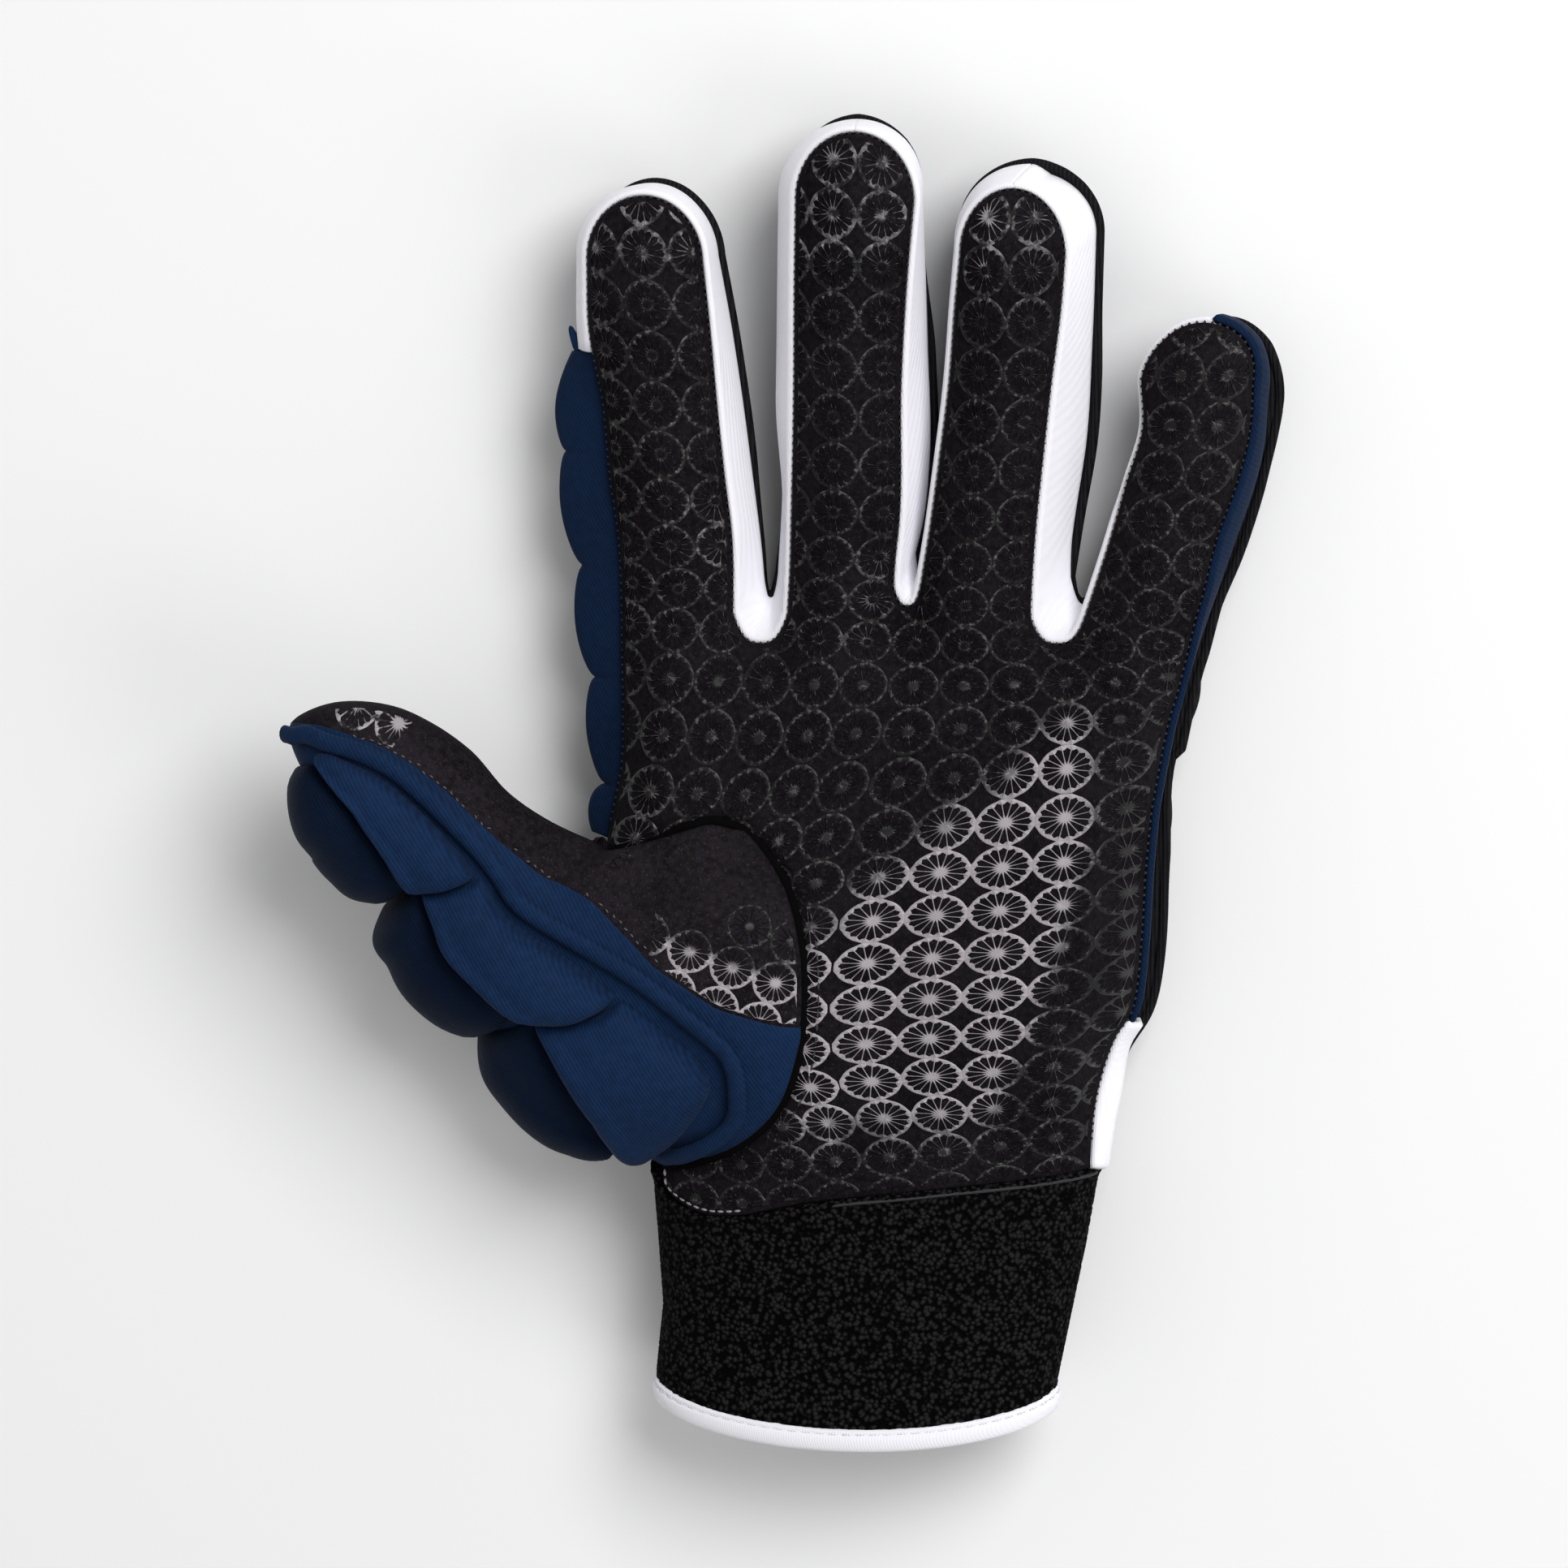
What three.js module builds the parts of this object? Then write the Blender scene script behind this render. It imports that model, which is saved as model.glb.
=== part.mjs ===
// Left-hand field hockey glove, lying on its back with the palm up.
// Millimetres, +Z up out of the palm, +Y to the fingertips, +X to the little finger.
import * as THREE from 'three';

const { lerp, clamp, smoothstep } = THREE.MathUtils;

// Wall thicknesses and gaps
const PANEL_WALL = 1.4;
const FOURCHETTE_WALL = 1.2;
const SIDE_PAD_WALL = 1.5;
const STRIP_WALL = 1.4;
const THUMB_WALL = 1.6;
const CUFF_WALL = 2.4;
const BINDING_WALL = 3.4;
const GAP = 0.3;
const SEAM_GAP = 0.5;
const BORDER_GAP = 0.55;
// Gap at the ends of a side wall, as a share of the way from one edge vertex to the next
const SEAM_ALLOWANCE = 0.05;

// How finely the panels are divided
const FINGER_COLUMNS = 4;
const CROTCH_COLUMNS = 3;
const STRAIGHT_ROWS = 5;
const CAP_ROWS = 3;
const UPPER_ROWS = 4;
const LOWER_ROWS = 6;
const WALL_ROWS = 4;
const PAD_STEPS = 4;

// Heights: the palm side is a puffed sheet, the back a shallow tray with raised edges
const PALM = { edge: 20, fingerCrown: 6, handCrown: 9, puffWidth: 10 };
const BACK = { finger: 6.6, hand: 8.3, rise: 3.5, riseWidth: 11 };
const CURL = { start: 35, length: 80, lift: 5 };
const THENAR = { x: -8, y: -36, spreadX: 22, spreadY: 22, height: 9 };
const HYPOTHENAR = { x: 42, y: -36, spreadX: 15, spreadY: 26, height: 5 };
// Where the hand runs into the fingers, and into the wrist
const PALM_HAND_BLEND = { start: 10, end: 34 };
const BACK_HAND_BLEND = { start: 20, end: 56 };
const WRIST_BLEND = { start: -46, end: -64 };
// Share of the cuff's half width past which the wrist keeps its height
const WRIST_FLAT = 0.98;

// Cuff sections from the wrist seam to the hem
const CUFF_SECTIONS = [
  { y: -67, x: 15.8, z: 18.5, halfWidth: 38.8, halfHeight: 15.5 },
  { y: -80, x: 15.2, z: 18.2, halfWidth: 37.2, halfHeight: 15.2 },
  { y: -92, x: 14.4, z: 18.0, halfWidth: 35.6, halfHeight: 14.8 },
  { y: -104, x: 12.6, z: 17.8, halfWidth: 35.0, halfHeight: 14.6 },
  { y: -110, x: 12.4, z: 17.6, halfWidth: 34.8, halfHeight: 14.4 },
];
// Top edge of the cuff under the palm's lower edge
const CUFF_TOP = [
  { x: -23, y: -68 }, { x: -21.4, y: -70.8 }, { x: -19.5, y: -72.8 }, { x: -15, y: -74.6 },
  { x: -6, y: -74.2 }, { x: 2, y: -72 }, { x: 12, y: -70.1 }, { x: 31, y: -68.1 }, { x: 55, y: -66.4 },
];
const CUFF_BACK_TOP = -66.7;
// Sine of the turn round the cuff below which a point counts as behind
const CUFF_BEHIND = 0.02;
// Lower edge of the binding: it slants to one side and dips in front with a rounded fall
const HEM = { y: -108.4, slant: 2.1, palmDrop: 6.4, dipPower: 1.3 };
const BINDING_WIDTH = 4;
const BINDING_PROUD = 0.8;
const CUFF_SIDES = 28;
const CUFF_ROWS = 4;

// Finger outlines: the left and right edge at heights up the glove, and the rounded tip
const FINGERS = [
  {
    name: 'index',
    palm: {
      cap: 92, tip: { x: -23.7, y: 103 },
      edges: [
        { y: 20, left: -28, right: -9 }, { y: 30, left: -28, right: -9 },
        { y: 43, left: -28.5, right: -9.2 }, { y: 54, left: -30, right: -10.5 },
        { y: 66, left: -31, right: -11.7 }, { y: 79, left: -33.3, right: -12.8 },
        { y: 92, left: -33.5, right: -14 },
      ],
    },
    back: {
      cap: 92, tip: { x: -23, y: 104.3 },
      edges: [
        { y: 20, left: -31, right: -3.5 }, { y: 37, left: -32, right: -4.2 },
        { y: 51, left: -34, right: -6 }, { y: 68, left: -34.5, right: -8.2 },
        { y: 80, left: -33.5, right: -10 }, { y: 92, left: -33, right: -12 },
      ],
    },
    pads: [28, 51, 74, 98],
  },
  {
    name: 'middle',
    palm: {
      cap: 102, tip: { x: 12.3, y: 113.7 },
      edges: [
        { y: 20, left: 0, right: 19 }, { y: 31, left: 0.8, right: 18.6 },
        { y: 38, left: 1.2, right: 18.8 }, { y: 46, left: 1.4, right: 19.6 },
        { y: 71, left: 1.9, right: 20 }, { y: 88, left: 2.1, right: 21 },
        { y: 102, left: 2.4, right: 22.3 },
      ],
    },
    back: {
      cap: 103, tip: { x: 12.4, y: 115.6 },
      edges: [
        { y: 20, left: -1.8, right: 20 }, { y: 37, left: -1.5, right: 21.3 },
        { y: 46, left: -1, right: 23.4 }, { y: 57, left: -0.6, right: 24.4 },
        { y: 77, left: 0, right: 24 }, { y: 103, left: 0.6, right: 23.2 },
      ],
    },
    pads: [30, 56, 82, 109],
  },
  {
    name: 'ring',
    palm: {
      cap: 93, tip: { x: 39.3, y: 104.2 },
      edges: [
        { y: 20, left: 23, right: 42.3 }, { y: 33, left: 23.5, right: 42.4 },
        { y: 46, left: 25.4, right: 43.2 }, { y: 58, left: 27, right: 44.4 },
        { y: 71, left: 28.6, right: 45.8 }, { y: 84, left: 29.6, right: 47.4 },
        { y: 93, left: 30.5, right: 48.1 },
      ],
    },
    back: {
      cap: 96, tip: { x: 42, y: 108.2 },
      edges: [
        { y: 20, left: 22, right: 48 }, { y: 37, left: 23.1, right: 49.7 },
        { y: 47, left: 25.2, right: 51 }, { y: 60, left: 26.9, right: 52.9 },
        { y: 77, left: 28.2, right: 53.8 }, { y: 96, left: 29.6, right: 54.4 },
      ],
    },
    pads: [29, 53, 77, 102],
  },
  {
    name: 'little',
    palm: {
      cap: 70, tip: { x: 73.5, y: 82 },
      edges: [
        { y: 20, left: 50, right: 68.4 }, { y: 29, left: 51.6, right: 70.4 },
        { y: 34, left: 53.2, right: 71.8 }, { y: 44, left: 56.3, right: 74.2 },
        { y: 54, left: 59, right: 78 }, { y: 63, left: 61.8, right: 80.4 },
        { y: 70, left: 62.2, right: 81.4 },
      ],
    },
    back: {
      cap: 70, tip: { x: 76, y: 83.6 },
      edges: [
        { y: 20, left: 50, right: 70.8 }, { y: 31, left: 51.6, right: 74.6 },
        { y: 44, left: 56.6, right: 79.8 }, { y: 57, left: 61, right: 83.2 },
        { y: 70, left: 64, right: 84.4 },
      ],
    },
    pads: [27, 44, 61, 77],
  },
];

// Height where the outer sides of the index and little fingers leave the hand
const OUTER_BASE_Y = 30;
// Crotches between the fingers: where each side starts and how deep the notch goes
const CROTCHES = [
  { palm: { leftY: 30, rightY: 30, bottomY: 25.2 }, back: { leftY: 36, rightY: 36, bottomY: 32 } },
  { palm: { leftY: 35, rightY: 36, bottomY: 31.9 }, back: { leftY: 40, rightY: 40, bottomY: 37 } },
  { palm: { leftY: 30, rightY: 30, bottomY: 25.7 }, back: { leftY: 36, rightY: 36, bottomY: 31.5 } },
];

// Outer edges of the hand below the fingers
const LEFT_EDGE = {
  palm: [{ x: -28, y: 29 }, { x: -27.8, y: 8 }, { x: -28.6, y: 0 }, { x: -31, y: -11 }],
  back: [{ x: -31.6, y: 29 }, { x: -30.5, y: 8 }, { x: -30, y: -11 }],
};
const RIGHT_EDGE = {
  palm: [{ x: 70.4, y: 29 }, { x: 68, y: 18.5 }, { x: 65.9, y: 10.8 }, { x: 63.4, y: -3 }],
  back: [{ x: 74, y: 29 }, { x: 70.5, y: 20 }, { x: 67.5, y: 6 }, { x: 65.6, y: -4 }],
};
const RIGHT_EDGE_LOW = {
  palm: [
    { x: 63.4, y: -3 }, { x: 62.4, y: -14 }, { x: 61.7, y: -27 }, { x: 60.4, y: -38 },
    { x: 57, y: -44 }, { x: 54.2, y: -54 }, { x: 53.2, y: -65.6 },
  ],
  back: [
    { x: 65.6, y: -4 }, { x: 64.6, y: -16 }, { x: 64, y: -28 }, { x: 62.4, y: -39 },
    { x: 58, y: -47 }, { x: 55, y: -56 }, { x: 52.6, y: -66 },
  ],
};
const LEFT_EDGE_LOW_BACK = [
  { x: -30, y: -11 }, { x: -29, y: -28 }, { x: -27, y: -46 }, { x: -24.6, y: -58 },
  { x: -21.6, y: -66 },
];

// Seam round the thumb base, from the web to the edge of the middle finger's column, then
// down the palm to the cuff, and the palm's lower edge over the cuff
const SEAM_UPPER = [
  { x: -31, y: -11 }, { x: -24, y: -10.6 }, { x: -17, y: -6 }, { x: -10, y: -4 },
  { x: -3.6, y: -7.6 },
];
const SEAM_LOWER = [
  { x: -3.6, y: -7.6 }, { x: 1.6, y: -15 }, { x: 4.2, y: -25 }, { x: 4.6, y: -36 },
  { x: 3.2, y: -47 }, { x: -1, y: -56 }, { x: -7.6, y: -62 }, { x: -15, y: -65.4 }, { x: -21, y: -67 },
];
const PALM_HEM = [
  { x: -21, y: -67 }, { x: -20, y: -70.6 }, { x: -14, y: -73.4 }, { x: -7, y: -73.2 },
  { x: 2, y: -71 }, { x: 12, y: -69.2 }, { x: 31, y: -67.2 }, { x: 53.2, y: -65.6 },
];

// Thumb sections from the tip to the root: share of its length, centre, half size across in
// plan and half height
const THUMB_TIP = { x: -83.5, y: 12.5, z: 36 };
const THUMB_SECTIONS = [
  { share: 0.05, x: -79.5, y: 11, z: 36, halfWidth: 5.8, halfHeight: 7.4 },
  { share: 0.11, x: -74.8, y: 8.4, z: 35.5, halfWidth: 8.8, halfHeight: 10.2 },
  { share: 0.22, x: -66.8, y: 3.8, z: 34, halfWidth: 11.2, halfHeight: 11.4 },
  { share: 0.41, x: -55.2, y: -8, z: 31, halfWidth: 12.8, halfHeight: 12 },
  { share: 0.59, x: -46.2, y: -20.2, z: 28.5, halfWidth: 14.2, halfHeight: 12.6 },
];
const THUMB_ROOT_ROWS = 5;
const THUMB_ROOT_BULGE = { dorsal: 7, up: 3 };
// Angles round the thumb, from the web upwards, where the black ends and the palm seam ends
const THUMB_BORDER_ANGLE = 62;
const THUMB_SEAM_ANGLE = 170;
// Stretches of the palm seam that the navy shell meets, how finely each is divided, the
// columns under the thumb, and how many of those are black
const NAVY_SEAM_ROWS = 3;
const NAVY_DIVISIONS = 3;
const UNDER_COLUMNS = 9;
const UNDER_BLACK_COLUMNS = 4;
// The thumb's edge beside the back: where it starts, in columns, and its gap to the back
const UNDER_START = 0.4;
const UNDER_GAP = 1.4;
// How far to each side the thumb's surface is measured for its slope
const SLOPE_STEP = { share: 0.01, angle: 2 };

// Thumb pads: two columns round the thumb and three segments along it
const THUMB_PAD_COLUMNS = [
  { name: 'inner', from: 88, to: 148, height: 7, lift: 0.7 },
  { name: 'outer', from: 152, to: 208, height: 8.5, lift: 1.1 },
];
const THUMB_PAD_SEGMENTS = [
  { from: 0.1, to: 0.485 }, { from: 0.495, to: 0.745 }, { from: 0.755, to: 0.94 },
];

// White walls: they stand proud on the thumb side of each finger and lie flat elsewhere
const WHITE_BULGE = { flat: 0.2, proud: 1.9, startY: 44, fullY: 66 };
const WALL_INSET = 1;

// Navy side pad of the index finger: how far it stands out low down and high up, the share
// of that left in the grooves, the heights of the grooves, and its ends in edge vertices
const SIDE_PAD = {
  low: 3.6, high: 6.8, groove: 0.62, ribs: [-11, -1, 18, 37.7, 57.5, 77],
  start: 0.15, aboveHand: 3.72, steps: 3,
};

// Navy strip beside the little finger and the hand, which ends part of the way down
const LITTLE_STRIP = { inset: 3.2, bulge: 0.3, belowHand: 3.2 };
const WRIST_GUSSET_BULGE = 3.4;

// Back pads of the hand
const HAND_PAD_ROWS = [{ from: 22, to: 6 }, { from: 5.2, to: -18.6 }, { from: -19.4, to: -43 }];
const HAND_PAD_COLUMNS = 4;
const HAND_PAD_CHANNEL = 1;
const BACK_PAD_GAP = 0.5;
const FINGER_PAD_CHANNEL = 1.2;
const FINGER_PAD_MARGIN = 1.5;
const HAND_PAD_SIDES = [
  { y: 22, left: -29, right: 72.4 }, { y: 14, left: -29, right: 71.4 },
  { y: 6, left: -28.6, right: 68.4 }, { y: 5.2, left: -28.6, right: 68 },
  { y: -8, left: -28.6, right: 66.8 }, { y: -18.6, left: -28.2, right: 65 },
  { y: -19.4, left: -28.2, right: 65 }, { y: -30, left: -27.4, right: 65.4 },
  { y: -43, left: -26, right: 60.5 },
];

// Pads: how thick they are at the edge, and how square and flat their crowns are
const PAD_EDGE = 1.6;
const BACK_PAD_EDGE = 3;
const PILLOW = { squareness: 6, crown: 1.05, flatFrom: 0.5 };

// Cosine of the slope of the back's raised edges
const TRAY_SLOPE_COSINE = 0.8;

// Puts the middle of the glove's outline over the origin
const CENTRE_SHIFT = { x: -0.5, y: -0.27, z: 0 };

const MATERIALS = {
  palm: new THREE.MeshStandardMaterial({ color: 0x17141a, roughness: 0.85 }),
  back: new THREE.MeshStandardMaterial({ color: 0x121216, roughness: 0.8 }),
  white: new THREE.MeshStandardMaterial({ color: 0xf0eef6, roughness: 0.75 }),
  navy: new THREE.MeshStandardMaterial({ color: 0x14294a, roughness: 0.7 }),
  blackFoam: new THREE.MeshStandardMaterial({ color: 0x16161b, roughness: 0.6 }),
  cuff: new THREE.MeshStandardMaterial({ color: 0x0f0f11, roughness: 0.95 }),
};

const glove = new THREE.Group();

// Value of one column of a table at a given height, straight between its rows
function lookUp(table, column, y) {
  const rows = table[0].y < table[table.length - 1].y ? table : [...table].reverse();
  const upper = rows.findIndex((row) => row.y >= y);
  if (upper === 0) return rows[0][column];
  if (upper === -1) return rows[rows.length - 1][column];
  const before = rows[upper - 1];
  const after = rows[upper];
  return lerp(before[column], after[column], (y - before.y) / (after.y - before.y));
}

// Point at a share of the length of a polyline
function alongPath(points, share) {
  const lengths = [0];
  for (let i = 1; i < points.length; i += 1) {
    const step = Math.hypot(points[i].x - points[i - 1].x, points[i].y - points[i - 1].y);
    lengths.push(lengths[i - 1] + step);
  }
  const target = share * lengths[lengths.length - 1];
  let i = 1;
  while (i < points.length - 1 && lengths[i] < target) i += 1;
  const t = clamp((target - lengths[i - 1]) / (lengths[i] - lengths[i - 1]), 0, 1);
  return new THREE.Vector2(
    lerp(points[i - 1].x, points[i].x, t),
    lerp(points[i - 1].y, points[i].y, t),
  );
}

// One vertex of a finger's strip: column across and row up to the rounded tip
function fingerPoint(finger, side, leftY, rightY, column, row) {
  const { cap, tip, edges } = finger[side];
  const across = column / FINGER_COLUMNS;
  if (row <= STRAIGHT_ROWS) {
    const up = row / STRAIGHT_ROWS;
    const yLeft = lerp(leftY, cap, up);
    const yRight = lerp(rightY, cap, up);
    return new THREE.Vector2(
      lerp(lookUp(edges, 'left', yLeft), lookUp(edges, 'right', yRight), across),
      lerp(yLeft, yRight, across),
    );
  }
  const up = (row - STRAIGHT_ROWS) / CAP_ROWS;
  const sideways = 2 * across - 1;
  const left = lookUp(edges, 'left', cap);
  const right = lookUp(edges, 'right', cap);
  const centre = (left + right) / 2;
  return new THREE.Vector2(
    centre + (tip.x - centre) * up + ((right - left) / 2) * sideways * Math.sqrt(1 - up * up / 2),
    cap + (tip.y - cap) * up * Math.sqrt(1 - sideways * sideways / 2),
  );
}

// Heights where the two sides of a finger leave the hand
function fingerBase(index, side) {
  return {
    leftY: index === 0 ? OUTER_BASE_Y : CROTCHES[index - 1][side].rightY,
    rightY: index === FINGERS.length - 1 ? OUTER_BASE_Y : CROTCHES[index][side].leftY,
  };
}

// Vertices of the notch between two fingers, without its two ends
function crotchPoints(index, side) {
  const { leftY, rightY, bottomY } = CROTCHES[index][side];
  const left = lookUp(FINGERS[index][side].edges, 'right', leftY);
  const right = lookUp(FINGERS[index + 1][side].edges, 'left', rightY);
  const points = [];
  for (let i = 1; i < CROTCH_COLUMNS; i += 1) {
    const t = i / CROTCH_COLUMNS;
    const rim = lerp(leftY, rightY, t);
    const depth = (rim - bottomY) * (1 - Math.abs(2 * t - 1) ** 3);
    points.push(new THREE.Vector2(lerp(left, right, t), rim - depth));
  }
  return points;
}

// Patch of rows between four edges
function coonsRows(top, bottom, left, right) {
  const rows = [top];
  const last = top.length - 1;
  for (let r = 1; r < left.length - 1; r += 1) {
    const v = r / (left.length - 1);
    const row = [];
    const leftCorner = top[0].clone().lerp(bottom[0], v);
    const rightCorner = top[last].clone().lerp(bottom[last], v);
    for (let c = 0; c <= last; c += 1) {
      const u = c / last;
      const ruled = top[c].clone().lerp(bottom[c], v);
      const sides = left[r].clone().lerp(right[r], u);
      const corners = leftCorner.clone().lerp(rightCorner, u);
      row.push(ruled.add(sides).sub(corners));
    }
    rows.push(row);
  }
  rows.push(bottom);
  return rows;
}

// Plan of a panel: its quads, and its edge from the web up round every finger and down
function panelPlan(side) {
  const quads = [];
  const addRows = (rows) => {
    for (let r = 1; r < rows.length; r += 1) {
      for (let c = 1; c < rows[r].length; c += 1) {
        quads.push([rows[r][c - 1], rows[r][c], rows[r - 1][c], rows[r - 1][c - 1]]);
      }
    }
  };
  const top = [];
  const edge = [];
  const strips = FINGERS.map((finger, index) => {
    const { leftY, rightY } = fingerBase(index, side);
    const rows = [];
    for (let row = STRAIGHT_ROWS + CAP_ROWS; row >= 0; row -= 1) {
      const line = [];
      for (let column = 0; column <= FINGER_COLUMNS; column += 1) {
        line.push(fingerPoint(finger, side, leftY, rightY, column, row));
      }
      rows.push(line);
    }
    addRows(rows);
    return rows;
  });
  strips.forEach((rows, index) => {
    const tipRow = rows[0];
    for (let r = rows.length - 1; r > 0; r -= 1) edge.push(rows[r][0]);
    edge.push(...tipRow);
    for (let r = 1; r < rows.length; r += 1) edge.push(rows[r][FINGER_COLUMNS]);
    top.push(...rows[rows.length - 1]);
    if (index < CROTCHES.length) {
      const notch = crotchPoints(index, side);
      edge.push(...notch);
      top.push(...notch);
    }
  });
  const seamColumns = FINGER_COLUMNS + CROTCH_COLUMNS;
  const upperLeft = [{ x: top[0].x, y: top[0].y }, ...LEFT_EDGE[side].slice(1)];
  const upperRight = [{ x: top[top.length - 1].x, y: top[top.length - 1].y }, ...RIGHT_EDGE[side].slice(1)];
  const sample = (path, count) => {
    const points = [];
    for (let i = 0; i <= count; i += 1) points.push(alongPath(path, i / count));
    return points;
  };
  const left = sample(upperLeft, UPPER_ROWS);
  const right = sample(upperRight, UPPER_ROWS);
  const bottom = [];
  const corner = SEAM_UPPER[SEAM_UPPER.length - 1];
  const rightCorner = right[UPPER_ROWS];
  for (let c = 0; c < top.length; c += 1) {
    if (side === 'palm' && c < seamColumns) {
      bottom.push(alongPath(SEAM_UPPER, c / seamColumns));
    } else if (side === 'palm') {
      const t = (c - seamColumns) / (top.length - 1 - seamColumns);
      bottom.push(new THREE.Vector2(lerp(corner.x, rightCorner.x, t), lerp(corner.y, rightCorner.y, t)));
    } else {
      const t = c / (top.length - 1);
      bottom.push(left[UPPER_ROWS].clone().lerp(rightCorner, t));
    }
  }
  addRows(coonsRows(top, bottom, left, right));
  const lowTop = side === 'palm' ? bottom.slice(seamColumns) : bottom;
  const lowLeftPath = side === 'palm' ? SEAM_LOWER : LEFT_EDGE_LOW_BACK;
  const lowLeft = sample(lowLeftPath, LOWER_ROWS);
  const lowRight = sample(RIGHT_EDGE_LOW[side], LOWER_ROWS);
  const hemPath = side === 'palm'
    ? PALM_HEM
    : [lowLeft[LOWER_ROWS], lowRight[LOWER_ROWS]];
  const lowBottom = sample(hemPath, lowTop.length - 1);
  addRows(coonsRows(lowTop, lowBottom, lowLeft, lowRight));
  return {
    quads,
    edge: [...left.slice(1).reverse(), ...edge, ...right.slice(1), ...lowRight.slice(1)],
  };
}

const PLANS = { palm: panelPlan('palm'), back: panelPlan('back') };

// Distance in plan from the outer edge of a panel
function edgeDistance(side, x, y) {
  const { edge } = PLANS[side];
  let best = Infinity;
  for (let i = 1; i < edge.length; i += 1) {
    const ax = edge[i - 1].x;
    const ay = edge[i - 1].y;
    const dx = edge[i].x - ax;
    const dy = edge[i].y - ay;
    const t = clamp(((x - ax) * dx + (y - ay) * dy) / (dx * dx + dy * dy), 0, 1);
    best = Math.min(best, Math.hypot(x - ax - t * dx, y - ay - t * dy));
  }
  return best;
}

function curl(y) {
  return CURL.lift * (Math.max(0, y - CURL.start) / CURL.length) ** 2;
}

function mound({ x, y, spreadX, spreadY, height }, px, py) {
  return height * Math.exp(-(((px - x) / spreadX) ** 2 + ((py - y) / spreadY) ** 2) / 2);
}

// Height of the cuff's wall above or below its middle, where the hand runs into it
function wristHeight(x, direction) {
  const { x: middle, z, halfWidth, halfHeight } = CUFF_SECTIONS[0];
  const across = clamp((x - middle) / halfWidth, -WRIST_FLAT, WRIST_FLAT);
  return z + direction * halfHeight * Math.sqrt(1 - across * across);
}

// Outer face of the palm side
function palmHeight(x, y) {
  const puff = 1 - (1 - Math.min(edgeDistance('palm', x, y) / PALM.puffWidth, 1)) ** 2;
  const hand = 1 - smoothstep(y, PALM_HAND_BLEND.start, PALM_HAND_BLEND.end);
  const crown = lerp(PALM.fingerCrown, PALM.handCrown, hand);
  const mounds = mound(THENAR, x, y) + mound(HYPOTHENAR, x, y);
  const free = PALM.edge + curl(y) + puff * (crown + mounds);
  return lerp(wristHeight(x, 1), free, smoothstep(y, WRIST_BLEND.end, WRIST_BLEND.start));
}

// Outer face of the back
function backHeight(x, y) {
  const fall = 1 - Math.min(edgeDistance('back', x, y) / BACK.riseWidth, 1);
  const hand = 1 - smoothstep(y, BACK_HAND_BLEND.start, BACK_HAND_BLEND.end);
  const free = lerp(BACK.finger, BACK.hand, hand) + curl(y) + BACK.rise * fall * fall;
  return lerp(wristHeight(x, -1), free, smoothstep(y, WRIST_BLEND.end, WRIST_BLEND.start));
}

// Closed shell from an open patch of quads. The outer face is as given. A vertex that has
// no inner point of its own gets one moved in along its normal by the wall's thickness.
function thicken(quads, wall = 0) {
  const points = [];
  const ids = new Map();
  const idOf = (p) => {
    const key = `${p.x.toFixed(3)},${p.y.toFixed(3)},${p.z.toFixed(3)}`;
    if (!ids.has(key)) {
      ids.set(key, points.length);
      points.push(p);
    }
    return ids.get(key);
  };
  const triangles = [];
  quads.map((quad) => quad.map(idOf)).forEach(([a, b, c, d]) => {
    if (a !== b && b !== c && a !== c) triangles.push([a, b, c]);
    if (a !== c && c !== d && a !== d) triangles.push([a, c, d]);
  });
  const normals = points.map(() => new THREE.Vector3());
  triangles.forEach(([a, b, c]) => {
    const n = points[b].clone().sub(points[a]).cross(points[c].clone().sub(points[a]));
    [a, b, c].forEach((i) => normals[i].add(n));
  });
  const inner = points.map((p, i) => (
    p.inner ?? p.clone().addScaledVector(normals[i].normalize(), -wall)
  ));
  const position = [...points, ...inner].flatMap((p) => [p.x, p.y, p.z]);
  const count = points.length;
  const index = [];
  const halfEdges = new Map();
  triangles.forEach(([a, b, c]) => {
    index.push(a, b, c, c + count, b + count, a + count);
    [[a, b], [b, c], [c, a]].forEach(([from, to]) => halfEdges.set(`${from},${to}`, [from, to]));
  });
  halfEdges.forEach(([from, to]) => {
    if (halfEdges.has(`${to},${from}`)) return;
    index.push(from, from + count, to + count, from, to + count, to);
  });
  const geometry = new THREE.BufferGeometry();
  geometry.setAttribute('position', new THREE.Float32BufferAttribute(position, 3));
  geometry.setIndex(index);
  return geometry;
}

// Quads of a grid of rows, with its faces turned the way of row direction by column direction
function gridQuads(rows, wraps = false) {
  const quads = [];
  for (let r = 1; r < rows.length; r += 1) {
    const count = rows[r].length;
    for (let c = wraps ? 0 : 1; c < count; c += 1) {
      const before = (c + count - 1) % count;
      quads.push([rows[r - 1][before], rows[r - 1][c], rows[r][c], rows[r][before]]);
    }
  }
  return quads;
}

function addPiece(name, geometry, material) {
  const mesh = new THREE.Mesh(geometry, material);
  mesh.name = name;
  glove.add(mesh);
}

function addPanels() {
  const lift = (heightAt) => (p) => new THREE.Vector3(p.x, p.y, heightAt(p.x, p.y));
  const palmQuads = PLANS.palm.quads.map((quad) => quad.map(lift(palmHeight)));
  addPiece('palm_panel', thicken(palmQuads, PANEL_WALL), MATERIALS.palm);
  const backQuads = PLANS.back.quads.map((quad) => quad.map(lift(backHeight)).reverse());
  addPiece('back_panel', thicken(backQuads, PANEL_WALL), MATERIALS.back);
}

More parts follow.
